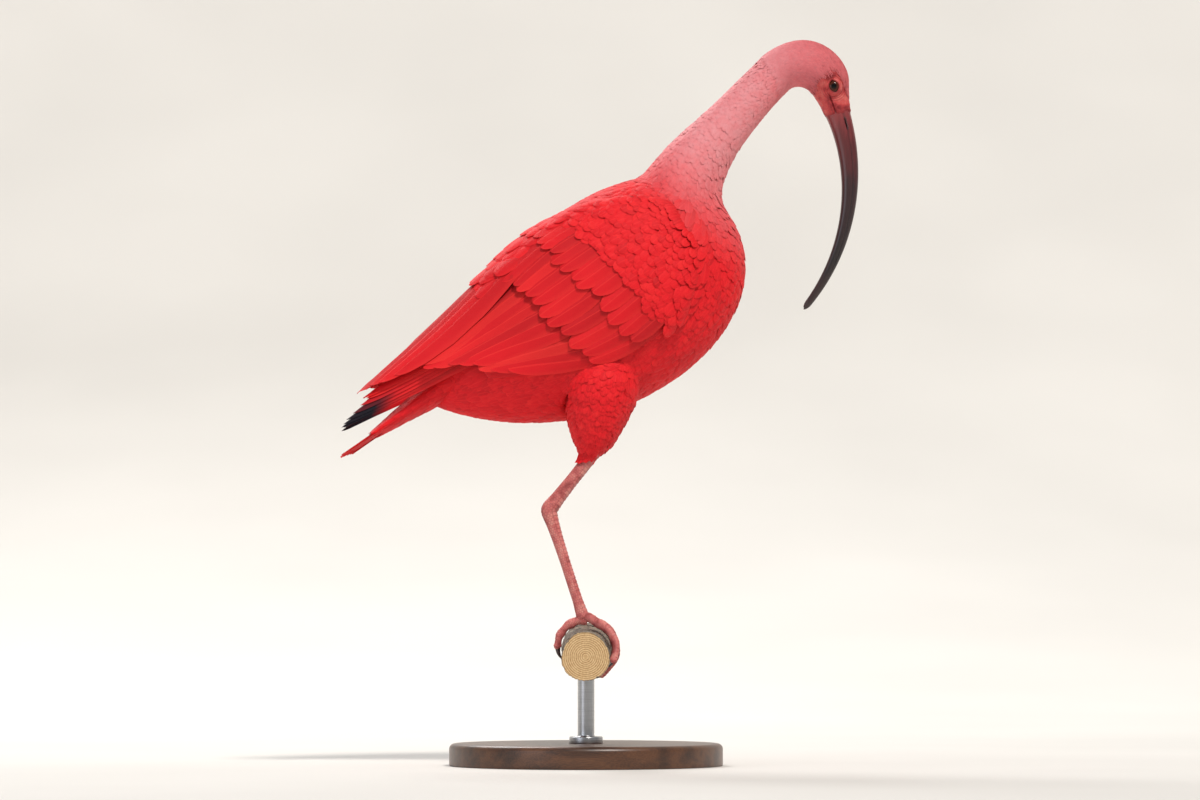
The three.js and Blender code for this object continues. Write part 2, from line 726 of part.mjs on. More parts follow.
// A slim cutter along the head, its middle at `ahead`, `out` and `rise`, turned in by `inward`
function slot(frame, [ahead, out, rise], [half, deep, high], inward, side) {
  const geometry = new THREE.SphereGeometry(1, SLOT_AROUND, SLOT_ALONG);
  geometry.rotateZ(90 * DEG);
  geometry.scale(half, deep, high);
  geometry.rotateZ(-inward * side);
  geometry.translate(ahead, out * side, rise);
  geometry.rotateY(-frame.heading);
  geometry.translate(frame.point.x, 0, frame.point.z);
  return toSolid(geometry);
}

// The line of the mouth, carried back from the bill's base into the face
function mouthCorner(side) {
  const frame = neckFrame(HEAD_BEND);
  return slot(frame, MOUTH_PLACE, MOUTH_SIZE, MOUTH_INWARD, side);
}

function neckLowerSolid() {
  return neckPiece(-NECK_LENGTH, NECK_SPLIT - GAP / 2, NECK_LOWER_RINGS).subtract(torsoSolid(GAP));
}

function neckUpperSolid() {
  return neckPiece(NECK_SPLIT + GAP / 2, HEAD_START - GAP / 2, NECK_UPPER_RINGS);
}

// The head with its lids, eye sockets and the corners of the mouth
function headSolid() {
  let head = neckPiece(HEAD_START + GAP / 2, HEAD_END, HEAD_RINGS);
  for (const side of [-1, 1]) {
    const centre = eyeCentre(side);
    head = head.add(ball(centre, EYE_RADIUS + GAP + LID_THICK));
    head = head.subtract(ball(centre, EYE_RADIUS + GAP));
    head = head.subtract(lidOpening(centre, side));
    head = head.subtract(mouthCorner(side));
  }
  return head;
}

// Bill: sections along an arc that turns down from the face
function billFrame(share) {
  const start = neckFrame(HEAD_END + GAP).point;
  const radius = BILL_LENGTH / BILL_TURN;
  const heading = BILL_HEADING + BILL_TURN * share;
  const point = new THREE.Vector3(
    start.x + radius * (Math.sin(heading) - Math.sin(BILL_HEADING)),
    0,
    start.z - radius * (Math.cos(heading) - Math.cos(BILL_HEADING)),
  );
  const up = new THREE.Vector3(-Math.sin(heading), 0, Math.cos(heading));
  return { point, up };
}

function billSection(share) {
  const slim = share ** BILL_SLIMMING;
  return {
    depth: THREE.MathUtils.lerp(BILL_BASE_DEPTH, BILL_TIP_DEPTH, slim),
    width: THREE.MathUtils.lerp(BILL_BASE_WIDTH, BILL_TIP_WIDTH, slim),
  };
}

function billHalf(isUpper) {
  const rings = [];
  for (let n = 0; n <= BILL_STEPS; n += 1) {
    const share = (isUpper ? 1 : BILL_LOWER_REACH) * (n / BILL_STEPS);
    const frame = billFrame(share);
    const { depth, width } = billSection(share);
    const mouth = (BILL_MOUTH - 0.5) * depth;
    const height = isUpper ? depth / 2 - mouth : -(depth / 2 + mouth);
    const edge = mouth + (isUpper ? GAP / 2 : -GAP / 2);
    const blunt = n === BILL_STEPS ? BILL_BLUNT : 1;
    const ring = [];
    for (let s = 0; s < BILL_ARC_POINTS; s += 1) {
      const angle = (s / (BILL_ARC_POINTS - 1)) * Math.PI;
      ring.push(frame.point.clone()
        .addScaledVector(frame.up, edge + blunt * (height - GAP / 2) * Math.sin(angle))
        .add(new THREE.Vector3(0, blunt * 0.5 * width * Math.cos(angle), 0)));
    }
    rings.push(ring);
  }
  const half = toSolid(loft(rings));
  return isUpper ? half.subtract(nostril(1)).subtract(nostril(-1)) : half;
}

function nostril(side) {
  const frame = neckFrame(HEAD_END + GAP);
  return slot(frame, NOSTRIL_PLACE, NOSTRIL_SIZE, NOSTRIL_INWARD, side);
}

// Legs
function tube(points, radii, sides) {
  const curve = new THREE.CatmullRomCurve3(points, false, 'centripetal');
  const steps = radii.length - 1;
  const rings = [];
  for (let n = 0; n <= steps; n += 1) {
    const centre = curve.getPoint(n / steps);
    const forward = curve.getTangent(n / steps);
    const across = new THREE.Vector3(0, 1, 0).addScaledVector(forward, -forward.y).normalize();
    const up = new THREE.Vector3().crossVectors(forward, across).normalize();
    const ring = [];
    for (let s = 0; s < sides; s += 1) {
      const angle = (s / sides) * 2 * Math.PI;
      ring.push(centre.clone()
        .addScaledVector(across, radii[n] * Math.cos(angle))
        .addScaledVector(up, radii[n] * Math.sin(angle)));
    }
    rings.push(ring);
  }
  return toSolid(loft(rings));
}

function sidePoint([x, y, z], side) {
  return new THREE.Vector3(x, y * side, z);
}

function stopShort(from, to, gap) {
  return to.clone().addScaledVector(to.clone().sub(from).normalize(), -gap);
}

function thighTube(side, grow = 0) {
  const top = sidePoint(THIGH_TOP, side);
  const end = sidePoint(THIGH_END, side);
  const middle = top.clone().lerp(end, THIGH_MIDDLE).add(new THREE.Vector3(THIGH_BOW, 0, 0));
  const radii = THIGH_SWELL.map((share) => grow
    + THREE.MathUtils.lerp(THIGH_END_RADIUS, THIGH_TOP_RADIUS, share));
  return tube([top, middle, stopShort(top, end, -grow)], radii, THIGH_SIDES);
}

function thighSolid(side) {
  const shell = wingShell(WING_CLEAR);
  return thighTube(side)
    .subtract(torsoSolid(GAP))
    .subtract(side > 0 ? shell : shell.mirror([0, 1, 0]));
}

function tibiaSolid(side) {
  const start = sidePoint(THIGH_END, side);
  const ankle = sidePoint(ANKLE, side);
  const from = stopShort(ankle, start, -TIBIA_RADIUS);
  const to = stopShort(start, ankle, ANKLE_RADIUS);
  const radii = TIBIA_SWELL.map((share) => share * TIBIA_RADIUS);
  return tube([from, to], radii, LEG_SIDES).subtract(thighTube(side, GAP));
}

function tarsusSolid(side) {
  const ankle = sidePoint(ANKLE, side);
  const root = sidePoint(TOE_ROOT, side);
  const start = stopShort(sidePoint(THIGH_END, side), ankle, ANKLE_RADIUS - GAP);
  const low = ankle.clone().lerp(root, TARSUS_LOW);
  const radii = TARSUS_SWELL.map((share) => share * TARSUS_RADIUS);
  return tube([start, ankle, low, root], radii, LEG_SIDES).subtract(hubSolid(side, GAP));
}

// A toe lies over the perch: an arc round the branch that drifts to the side, then its claw
function toeSolid(toe, side, direction) {
  const rings = [];
  const root = sidePoint(TOE_ROOT, side);
  root.z -= toe.drop ?? 0;
  const start = Math.atan2(root.z - PERCH_Z, root.x - PERCH_X);
  const lengths = [];
  for (let n = 0; n <= TOE_STEPS; n += 1) lengths.push((n / TOE_STEPS) * toe.length);
  for (let n = 1; n <= CLAW_STEPS; n += 1) lengths.push(toe.length + (n / CLAW_STEPS) * CLAW_LENGTH);
  for (const along of lengths) {
    const claw = Math.max(0, (along - toe.length) / CLAW_LENGTH);
    const pads = TOE_PAD * Math.cos((along / toe.length) * TOE_PADS * 2 * Math.PI);
    const radius = TOE_RADIUS * (claw > 0
      ? THREE.MathUtils.lerp(CLAW_ROOT, CLAW_TIP, claw)
      : TOE_FULL - TOE_TAPER * (along / toe.length) + pads);
    const y = root.y + side * along * Math.sin(toe.spread);
    const angle = start - (direction * along * Math.cos(toe.spread)) / TOE_REACH;
    const rest = perchRadius(y, angle) + radius + TOE_CLEAR;
    const settled = smoothStep(0, TOE_SETTLE, along);
    const rise = THREE.MathUtils.lerp(root.z - PERCH_Z - rest, 0, settled);
    const distance = rest + rise;
    const centre = new THREE.Vector3(
      PERCH_X + distance * Math.cos(angle),
      y,
      PERCH_Z + perchSway(y) + distance * Math.sin(angle),
    );
    const out = new THREE.Vector3(Math.cos(angle), 0, Math.sin(angle));
    const ring = [];
    for (let s = 0; s < TOE_SIDES; s += 1) {
      const turn = (s / TOE_SIDES) * 2 * Math.PI;
      ring.push(centre.clone()
        .addScaledVector(out, radius * Math.sin(turn))
        .add(new THREE.Vector3(0, radius * Math.cos(turn), 0)));
    }
    rings.push(ring);
  }
  return toSolid(loft(rings));
}

function hubSolid(side, grow = 0) {
  return ball(sidePoint(TOE_ROOT, side), HUB_RADIUS + grow);
}

function footSolid(side) {
  const toes = FRONT_TOES.map((toe) => toeSolid(toe, side, 1));
  return wasm.Manifold.union([hubSolid(side), ...toes]);
}

function halluxSolid(side) {
  return toeSolid(HIND_TOE, side, -1).subtract(hubSolid(side, GAP));
}

// Perch: a cut length of branch along Y, a little crooked and knotted
function perchRadius(y, angle) {
  const t = y / PERCH_LENGTH;
  const knots = PERCH_KNOTS.swell * Math.sin(PERCH_KNOTS.turns * t + PERCH_KNOTS.start);
  const flutes = PERCH_FLUTES.swell * Math.sin(PERCH_FLUTES.count * angle + PERCH_FLUTES.twist * t);
  return PERCH_RADIUS * (1 + knots + PERCH_TAPER * t) * (1 + flutes);
}

function perchSway(y) {
  return PERCH_SWAY * Math.sin((PERCH_BEND * y) / PERCH_LENGTH);
}

function perchSolid(grow = 0) {
  const rings = [];
  for (let n = 0; n <= PERCH_STEPS; n += 1) {
    const y = (n / PERCH_STEPS - 0.5) * PERCH_LENGTH;
    const ring = [];
    for (let s = 0; s < PERCH_SIDES; s += 1) {
      const angle = (s / PERCH_SIDES) * 2 * Math.PI;
      const distance = perchRadius(y, angle) + grow;
      ring.push(new THREE.Vector3(
        PERCH_X + distance * Math.cos(angle),
        y,
        PERCH_Z + perchSway(y) + distance * Math.sin(angle),
      ));
    }
    rings.push(ring);
  }
  return toSolid(loft(rings));
}

function rodSolid() {
  const outline = [
    [0, BASE_HEIGHT + GAP],
    [ROD_COLLAR_RADIUS, BASE_HEIGHT + GAP],
    [ROD_COLLAR_RADIUS, BASE_HEIGHT + ROD_COLLAR_HEIGHT - EDGE_BREAK],
    [ROD_COLLAR_RADIUS - EDGE_BREAK, BASE_HEIGHT + ROD_COLLAR_HEIGHT],
    [ROD_RADIUS, BASE_HEIGHT + ROD_COLLAR_HEIGHT],
    [ROD_RADIUS, PERCH_Z],
    [0, PERCH_Z],
  ].map(([x, y]) => new THREE.Vector2(x, y));
  const geometry = new THREE.LatheGeometry(outline, ROD_SIDES);
  geometry.rotateX(90 * DEG);
  geometry.translate(PERCH_X, 0, 0);
  return toSolid(geometry).subtract(perchSolid(GAP));
}

function baseSolid() {
  const outline = [[0, 0], [BASE_RADIUS - EDGE_BREAK, 0], [BASE_RADIUS, EDGE_BREAK]];
  for (let n = 0; n <= BASE_ROUND_STEPS; n += 1) {
    const angle = (n / BASE_ROUND_STEPS) * 90 * DEG;
    outline.push([
      BASE_RADIUS - BASE_ROUND + BASE_ROUND * Math.cos(angle),
      BASE_HEIGHT - BASE_ROUND + BASE_ROUND * Math.sin(angle),
    ]);
  }
  outline.push([0, BASE_HEIGHT]);
  const points = outline.map(([x, y]) => new THREE.Vector2(x, y));
  const geometry = new THREE.LatheGeometry(points, BASE_SIDES);
  geometry.rotateX(90 * DEG);
  return toSolid(geometry);
}

const ibis = new THREE.Group();

function addNode(name, solid, look) {
  const mesh = new THREE.Mesh(toGeometry(solid), look);
  mesh.name = name;
  ibis.add(mesh);
}

addNode('torso', torsoSolid(), material(COLOURS.scarlet, 0.8));
addNode('neck_lower', neckLowerSolid(), material(COLOURS.neck, 0.8));
addNode('neck_upper', neckUpperSolid(), material(COLOURS.neck, 0.8));
addNode('head', headSolid(), material(COLOURS.face, 0.7));
addNode('bill_upper', billHalf(true), material(COLOURS.bill, 0.45));
addNode('bill_lower', billHalf(false), material(COLOURS.bill, 0.45));
addNode('tail', tailSolid(), material(COLOURS.tail, 0.75));
for (const [name, side] of [['left', 1], ['right', -1]]) {
  addNode(`eye_${name}`, ball(eyeCentre(side), EYE_RADIUS), material(COLOURS.eye, 0.1));
  addNode(`wing_${name}`, wingSolid(side), material(COLOURS.wing, 0.75));
  addNode(`thigh_${name}`, thighSolid(side), material(COLOURS.scarlet, 0.8));
  addNode(`tibia_${name}`, tibiaSolid(side), material(COLOURS.leg, 0.55));
  addNode(`tarsus_${name}`, tarsusSolid(side), material(COLOURS.leg, 0.55));
  addNode(`foot_${name}`, footSolid(side), material(COLOURS.leg, 0.55));
  addNode(`hallux_${name}`, halluxSolid(side), material(COLOURS.leg, 0.55));
}
addNode('perch', perchSolid(), material(COLOURS.bark, 0.9));
addNode('stand_rod', rodSolid(), material(COLOURS.rod, 0.35, 0.9));
addNode('stand_base', baseSolid(), material(COLOURS.base, 0.5));

export default ibis;
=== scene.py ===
# %% [markdown]
# # A scarlet ibis, feather by feather
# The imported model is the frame: plain solids at their real size and place. Here they get their looks.
# A museum model of a bird is a skin over a form, with real feathers laid on it from tail to head.
# This script works the same way: one skin, then tracts of feathers, each a small curved solid.
# The surfaces are the frame's own forms, given again as formulas, so that all that is laid on them fits.

# %% Frame
import math

import bpy
import numpy as np
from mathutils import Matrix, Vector


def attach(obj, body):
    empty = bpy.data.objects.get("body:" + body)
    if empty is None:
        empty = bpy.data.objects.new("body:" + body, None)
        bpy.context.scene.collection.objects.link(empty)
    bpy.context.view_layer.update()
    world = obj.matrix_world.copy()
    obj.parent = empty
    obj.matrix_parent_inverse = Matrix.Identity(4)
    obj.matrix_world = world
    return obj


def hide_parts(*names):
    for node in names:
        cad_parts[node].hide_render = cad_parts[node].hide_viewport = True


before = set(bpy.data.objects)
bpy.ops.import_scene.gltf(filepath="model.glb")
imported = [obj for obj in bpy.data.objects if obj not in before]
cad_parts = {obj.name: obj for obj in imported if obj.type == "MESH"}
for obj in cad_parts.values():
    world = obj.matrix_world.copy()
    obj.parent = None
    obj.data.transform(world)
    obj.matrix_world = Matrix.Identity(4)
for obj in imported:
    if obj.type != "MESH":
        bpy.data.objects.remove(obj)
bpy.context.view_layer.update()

# %% [markdown]
# ## Units and small helpers
# The shapes are worked out in millimetres and turned to metres once, when a mesh is made.
# A soft step and a straight mix are enough to run one size into another.

# %% Units
MM = 0.001
DEG = math.pi / 180
TAU = 2 * math.pi
FULL_TURN = (-math.pi, math.pi)
SIDES = (("left", 1), ("right", -1))


def circle(count):
    """The angles of places evenly round a circle, as one row."""
    return np.linspace(0, TAU, count, endpoint=False)[None, :]


def lerp(start, end, share):
    """The value at a share of the way from start to end."""
    return start + (end - start) * share


def smooth_step(low, high, value):
    """0 below low, 1 above high, and 3t^2 - 2t^3 between them."""
    t = np.clip((value - low) / (high - low), 0, 1)
    return t * t * (3 - 2 * t)


def unit(vectors):
    """The same directions, one long."""
    return vectors / np.maximum(np.linalg.norm(vectors, axis=-1, keepdims=True), 1e-9)


def signed_power(value, power):
    """|value|^power with the sign of value."""
    return np.sign(value) * np.abs(value) ** power


# %% [markdown]
# ## The body's form
# The trunk is an egg round a tilted axis. Along the axis its size swells to the deepest place and
# falls off to the breast and the rump. Round the axis a section is a superellipse, a little squarer
# than an ellipse, deeper below the axis than above.

# %% Body form
BODY_X, BODY_Z, BODY_TILT = -8.0, 325.0, 34 * DEG
BREAST_END, RUMP_END, DEEPEST = 131.0, -124.0, 30.0
RISE_BACK, DROP_BELLY, HALF_WIDTH, RUMP_LIFT = 64.0, 79.0, 54.0, 9.0
SECTION_ROUND = 2.15
SECTION_POWER = 2 / SECTION_ROUND


def body_point(along, side, rise):
    """A place in the body's tilted frame, as x, y, z."""
    x = BODY_X + along * math.cos(BODY_TILT) - rise * math.sin(BODY_TILT)
    z = BODY_Z + along * math.sin(BODY_TILT) + rise * math.cos(BODY_TILT)
    return np.stack(np.broadcast_arrays(x, side, z), -1)


def rump_lift(along):
    """The axis climbs by the square of the way back from the deepest place."""
    return RUMP_LIFT * np.maximum(0, (DEEPEST - along) / (DEEPEST - RUMP_END)) ** 2


def body_sizes(along):
    """Half width, rise and drop: full size times (1 - t^2.2)^(1/2.2) ahead, (1 - t^2)^0.8 behind."""
    ahead = np.clip((along - DEEPEST) / (BREAST_END - DEEPEST), 0, 1)
    behind = np.clip((DEEPEST - along) / (DEEPEST - RUMP_END), 0, 1)
    full = np.where(along > DEEPEST, (1 - ahead**2.2) ** (1 / 2.2), (1 - behind**2) ** 0.8)
    return HALF_WIDTH * full, RISE_BACK * full, DROP_BELLY * full


def section_point(along, angle, half, up, down, out=0.0):
    """A superellipse section: side ~ cos^p, height ~ sin^p, with the angle up from the side."""
    side = (half + out) * signed_power(np.cos(angle), SECTION_POWER)
    height = (np.where(angle > 0, up, down) + out) * signed_power(np.sin(angle), SECTION_POWER)
    return body_point(along, side, rump_lift(along) + height)


def in_body(points):
    """How far along the body's axis places lie and how far above it, and its sizes there."""
    x, z = points[..., 0] - BODY_X, points[..., 2] - BODY_Z
    along = x * math.cos(BODY_TILT) + z * math.sin(BODY_TILT)
    rise = z * math.cos(BODY_TILT) - x * math.sin(BODY_TILT) - rump_lift(along)
    half, up, down = body_sizes(np.clip(along, RUMP_END + 1, BREAST_END - 1))
    return along, rise, half, np.where(rise > 0, up, down)


print("trunk:", round(BREAST_END - RUMP_END), "mm from breast to rump")

# %% [markdown]
# ## The folded wing's form
# A folded wing is a shell on the body's side. Behind the widest place it keeps to a line that runs
# straight to the wing's tip, so that the long feathers leave the body and don't wrap round it. Its
# edges are angles round the body: they part at the wrist and come together towards the tip.

# %% Wing form
WING_FRONT, WING_TIP, WING_SPAN = 104.0, -190.0, 294.0
FLARE_START, TIP_HALF_WIDTH, TIP_HALF_HEIGHT = -20.0, 25.0, 17.0
EDGE_FRONT, EDGE_LOW, EDGE_HIGH = 12, (-40, 8), (56, 80, 44)
SHELL_THICK, SHELL_ARCH, SHELL_THINS, SHELL_END = 1.6, 5.5, 0.75, 0.64


def wing_sizes(along):
    """The body's sizes, or the straight line to the wing's tip where that is wider."""
    t = (FLARE_START - along) / (FLARE_START - WING_TIP)
    flare_half, flare_up, _ = body_sizes(np.array(FLARE_START))
    straight_half = lerp(flare_half, TIP_HALF_WIDTH, t)
    straight_up = lerp(flare_up, TIP_HALF_HEIGHT, t)
    return [np.where(t > 0, np.maximum(straight, size), size) for straight, size in
            zip((straight_half, straight_up, straight_up), body_sizes(along))]


def wing_edges(share):
    """Lowest and highest angle of the wing round the body, at a share of its length."""
    nose = np.minimum(share / 0.25, 1)
    round_off = (1 - (1 - nose) ** 2.3) ** (1 / 2.3)
    top = lerp(*EDGE_HIGH[:2], smooth_step(0.12, 0.35, share))
    top = lerp(top, EDGE_HIGH[2], smooth_step(0.6, 1, share))
    low = lerp(*EDGE_LOW, smooth_step(0.25, 1, share))
    return lerp(EDGE_FRONT, low, round_off) * DEG, lerp(EDGE_FRONT, top, round_off) * DEG


def shell_out(along, angle):
    """How far the shell stands off: an arch across the wing that thins towards its end."""
    share = np.clip((WING_FRONT - along) / WING_SPAN, 0.02, 1)
    low, high = wing_edges(share)
    across = np.clip(2 * (angle - low) / (high - low) - 1, -1, 1)
    thins = 1 - SHELL_THINS * np.minimum(share / SHELL_END, 1)
    return SHELL_THICK + SHELL_ARCH * np.sqrt(1 - across**4) * thins


def wing_face(back, angle):
    """The shell's outer face by the way back from the wing's front and the angle round the body."""
    along = WING_FRONT - back
    return section_point(along, angle, *wing_sizes(along), shell_out(along, angle))


# %% [markdown]
# ## Neck and head
# The neck is a tube on a middle line that climbs from the shoulders and then bends over the throat,
# so that the head looks down and the bill hangs in front of the breast. The sizes are set at nine
# places along it, and a smooth curve runs through them.

# %% Neck form
THROAT_X, THROAT_Z, THROAT_RADIUS = 151.0, 480.0, 24.0
NECK_HEADING, HEAD_HEADING = 48 * DEG, -70 * DEG
NECK_LENGTH, FACE_LENGTH, BASE_CURVE, CURVE_FROM = 122.0, 21.0, 20 * DEG, 60.0
HEAD_BEND = THROAT_RADIUS * (NECK_HEADING - HEAD_HEADING)
HEAD_END = HEAD_BEND + FACE_LENGTH
NECK_AT = np.array([-NECK_LENGTH, -88, -55, -18, 8, 28, HEAD_BEND - 4, HEAD_BEND + 10, HEAD_END])
NECK_SIDE = np.array([36, 25, 17.5, 14.2, 13.8, 16.6, 16, 11.4, 7.6])
NECK_UP = np.array([30, 22, 17, 14.6, 13.8, 17.6, 17, 12.8, 9.6])
NECK_DOWN = np.array([36, 26, 18.5, 16, 16.5, 16, 14, 11.2, 9])


def through(at, values):
    """A smooth curve through values at the neck's places: cubic pieces, sloped as their neighbours."""
    slopes = np.gradient(values.astype(float), NECK_AT.astype(float))
    slopes[1:-1] = (values[2:] - values[:-2]) / (NECK_AT[2:] - NECK_AT[:-2])
    n = np.clip(np.searchsorted(NECK_AT, at) - 1, 0, len(NECK_AT) - 2)
    span = NECK_AT[n + 1] - NECK_AT[n]
    t = np.clip((at - NECK_AT[n]) / span, 0, 1)
    rise = (3 - 2 * t) * t * t
    return (
        lerp(values[n], values[n + 1], rise)
        + t * (1 - t) ** 2 * span * slopes[n]
        - t * t * (1 - t) * span * slopes[n + 1]
    )


def neck_below():
    """The middle line below the throat in small steps: the way down it, heading, x and z."""
    down = np.linspace(0, NECK_LENGTH + 20, 200)
    step = down[1]
    heading = NECK_HEADING + BASE_CURVE * smooth_step(CURVE_FROM, NECK_LENGTH, down)
    x = THROAT_X - THROAT_RADIUS * math.sin(NECK_HEADING) - np.cumsum(np.cos(heading)) * step
    z = THROAT_Z + THROAT_RADIUS * math.cos(NECK_HEADING) - np.cumsum(np.sin(heading)) * step
    return down, heading, x + math.cos(NECK_HEADING) * step, z + math.sin(NECK_HEADING) * step


BELOW, BELOW_HEADING, BELOW_X, BELOW_Z = neck_below()


def neck_line(length):
    """Middle line, heading: curved below the throat, an arc round it, then straight to the bill."""
    arc = np.clip(length, 0, HEAD_BEND)
    heading = NECK_HEADING - arc / THROAT_RADIUS
    x = THROAT_X - THROAT_RADIUS * np.sin(heading) + np.cos(heading) * (np.maximum(length, arc) - arc)
    z = THROAT_Z + THROAT_RADIUS * np.cos(heading) + np.sin(heading) * (np.maximum(length, arc) - arc)
    return [np.where(length < 0, np.interp(-length, BELOW, below), above) for below, above in
            ((BELOW_X, x), (BELOW_Z, z), (BELOW_HEADING, heading))]


def neck_point(length, side, rise):
    """A place off the neck's middle line: out to the side, and up square to the line."""
    x, z, heading = neck_line(length)
    x, side, z = np.broadcast_arrays(x - rise * np.sin(heading), side, z + rise * np.cos(heading))
    return np.stack([x, side, z], -1)


def neck_sizes(length, above):
    """The neck's half width, and its height above or below the middle line."""
    side, up, down = (through(length, sizes) for sizes in (NECK_SIDE, NECK_UP, NECK_DOWN))
    return side, np.where(above, up, down)


def neck_face(length, angle, out=0.0):
    """The neck's section: an ellipse with its own height above and below the middle line."""
    side, height = neck_sizes(length, np.sin(angle) > 0)
    return neck_point(length, (side + out) * np.cos(angle), (height + out) * np.sin(angle))


def nape(back, angle):
    """The neck's face by the way back from the bill's base, as its feathers lie."""
    return neck_face(HEAD_END - back, angle)


print("neck and head: middle line of", round(NECK_LENGTH + HEAD_END), "mm")

# %% [markdown]
# ## From arrays to a mesh
# One function turns arrays of points and faces into an object, sets what the materials read, and
# tells the frame which body it rides on. Faces are turned outwards by the sign of the volume.

# %% Mesh maker
def signed_volume(points, faces):
    """Six times the volume under some faces, the sum of a.(b x c): below 0 if they look inwards."""
    a, b, c = (points[faces[:, k]] for k in range(3))
    volume = np.einsum("ij,ij->i", a, np.cross(b, c)).sum()
    if faces.shape[1] == 4:
        d = points[faces[:, 3]]
        volume += np.einsum("ij,ij->i", a, np.cross(c, d)).sum()
    return volume


def make_piece(name, points, faces, material, slot, marks=None, maps=None, sharp=None, replaces=()):
    """An object from points in millimetres and a list of face arrays, with marks (numbers at each
    point) and maps (u, v at each point)."""
    faces = [np.asarray(part, np.int64) for part in faces if len(part)]
    if sum(signed_volume(points, part) for part in faces) < 0:
        faces = [part[:, ::-1] for part in faces]
    corners = np.concatenate([part.ravel() for part in faces])
    totals = np.concatenate([np.full(len(part), part.shape[1]) for part in faces])
    mesh = bpy.data.meshes.new(name)
    mesh.vertices.add(len(points))
    mesh.vertices.foreach_set("co", (points * MM).astype(np.float32).ravel())
    mesh.loops.add(len(corners))
    mesh.loops.foreach_set("vertex_index", corners.astype(np.int32))
    mesh.polygons.add(len(totals))
    mesh.polygons.foreach_set("loop_start", (np.cumsum(totals) - totals).astype(np.int32))
    mesh.update(calc_edges=True)
    mesh.polygons.foreach_set("use_smooth", np.ones(len(totals), bool))
    if sharp:
        mesh.set_sharp_from_angle(angle=sharp * DEG)
    for key, values in (marks or {}).items():
        layer = mesh.attributes.new(key, "FLOAT", "POINT")
        layer.data.foreach_set("value", np.asarray(values, np.float32).ravel())
    for key, values in (maps or {}).items():
        layer = mesh.uv_layers.new(name=key)
        layer.data.foreach_set("uv", np.asarray(values, np.float32)[corners].ravel())
    mesh.materials.append(material)
    piece = bpy.data.objects.new(name, mesh)
    bpy.context.scene.collection.objects.link(piece)
    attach(piece, "root")
    if replaces:
        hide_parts(*replaces)
    print(f"{name}: {int((totals - 2).sum())} triangles")
    return piece


# %% [markdown]
# Most pieces are grids: rings of points along a line, closed round it and at both ends. Such a tube
# unrolls to a flat map, and carries its numbers ring by ring.

# %% Grids and tubes
def grid_faces(rows, cols, wrap):
    """Four-sided faces between neighbouring points of a grid, round again if it wraps."""
    r, c = np.meshgrid(np.arange(rows - 1), np.arange(cols if wrap else cols - 1), indexing="ij")
    next_c = (c + 1) % cols
    return np.stack([r * cols + c, r * cols + next_c, (r + 1) * cols + next_c, (r + 1) * cols + c],
                    -1).reshape(-1, 4)


def closed_tube(rings):
    """Points and faces of a closed skin over rings (rows, around, 3), with a pole at each end."""
    rows, cols = rings.shape[:2]
    points = np.concatenate([rings.reshape(-1, 3), rings[0].mean(0)[None], rings[-1].mean(0)[None]])
    here = np.arange(cols)
    after = (here + 1) % cols
    first = np.stack([after, here, np.full(cols, rows * cols)], -1)
    last = np.stack([here, after, np.full(cols, rows * cols + 1)], -1)
    last[:, :2] += (rows - 1) * cols
    return points, [grid_faces(rows, cols, True), np.concatenate([first, last])]


def tube_map(rows, cols):
    """A map that unrolls a closed tube: v along it, u round it, the poles at the ends."""
    v, u = np.meshgrid(np.linspace(0, 1, rows), np.linspace(0, 1, cols), indexing="ij")
    flat = np.stack([u, v], -1).reshape(-1, 2)
    return np.concatenate([flat, [[0.5, 0.0], [0.5, 1.0]]])


def capped(values, ends=None):
    """Numbers by ring and place round it, and one for each pole: its ring's first, if not given."""
    return np.concatenate([values.ravel(), [values[0, 0], values[-1, 0]] if ends is None else ends])


def tube_piece(name, rings, material, slot, marks=None, sharp=None, replaces=()):
    """A closed tube as a piece, with its unrolled map."""
    points, faces = closed_tube(rings)
    make_piece(name, points, faces, material, slot, marks, {"OFBake": tube_map(*rings.shape[:2])},
               sharp, replaces)


def joined(parts):
    """Several closed meshes as one, each wound so that its faces look outwards."""
    points, quads, tris, start = [], [], [], 0
    for part, faces in parts:
        way = 1 if sum(signed_volume(part, face) for face in faces) > 0 else -1
        quads.append(faces[0][:, ::way] + start)
        tris.append(faces[1][:, ::way] + start)
        points.append(part)
        start += len(part)
    return np.concatenate(points), [np.concatenate(quads), np.concatenate(tris)]


# %% [markdown]
# ## Noise worked out in numpy
# Bark, scales and ragged edges need a rough but smooth number at each place. A lattice of random
# numbers, read with a soft step between its points, gives that, and it closes on itself round a tube.

# %% Noise
def lattice_noise(u, v, cells, seed):
    """Smooth noise from -1 to 1 over u and v in 0 to 1, with cells = (count u, count v); u wraps."""
    table = np.random.default_rng(seed).uniform(-1, 1, (cells[0], cells[1] + 2))
    x, y = (u % 1) * cells[0], np.clip(v, 0, 1) * cells[1]
    i, j = np.floor(x).astype(int), np.floor(y).astype(int)
    fx, fy = (t * t * (3 - 2 * t) for t in (x - i, y - j))
    i0, i1 = i % cells[0], (i + 1) % cells[0]
    low = lerp(table[i0, j], table[i1, j], fx)
    high = lerp(table[i0, j + 1], table[i1, j + 1], fx)
    return lerp(low, high, fy)


# %% [markdown]
# ## Materials
# Colours are written as the hex values that a painter would pick, and one function turns them to
# linear light. One small function adds a node, with its settings and its links.

# %% Material helpers
def colour(hex_value):
    """Hex sRGB to linear red, green, blue and 1: c/12.92, or ((c + 0.055)/1.055)^2.4 above 0.04."""
    parts = [int(hex_value[k:k + 2], 16) / 255 for k in (1, 3, 5)]
    return [c / 12.92 if c <= 0.04045 else ((c + 0.055) / 1.055) ** 2.4 for c in parts] + [1.0]


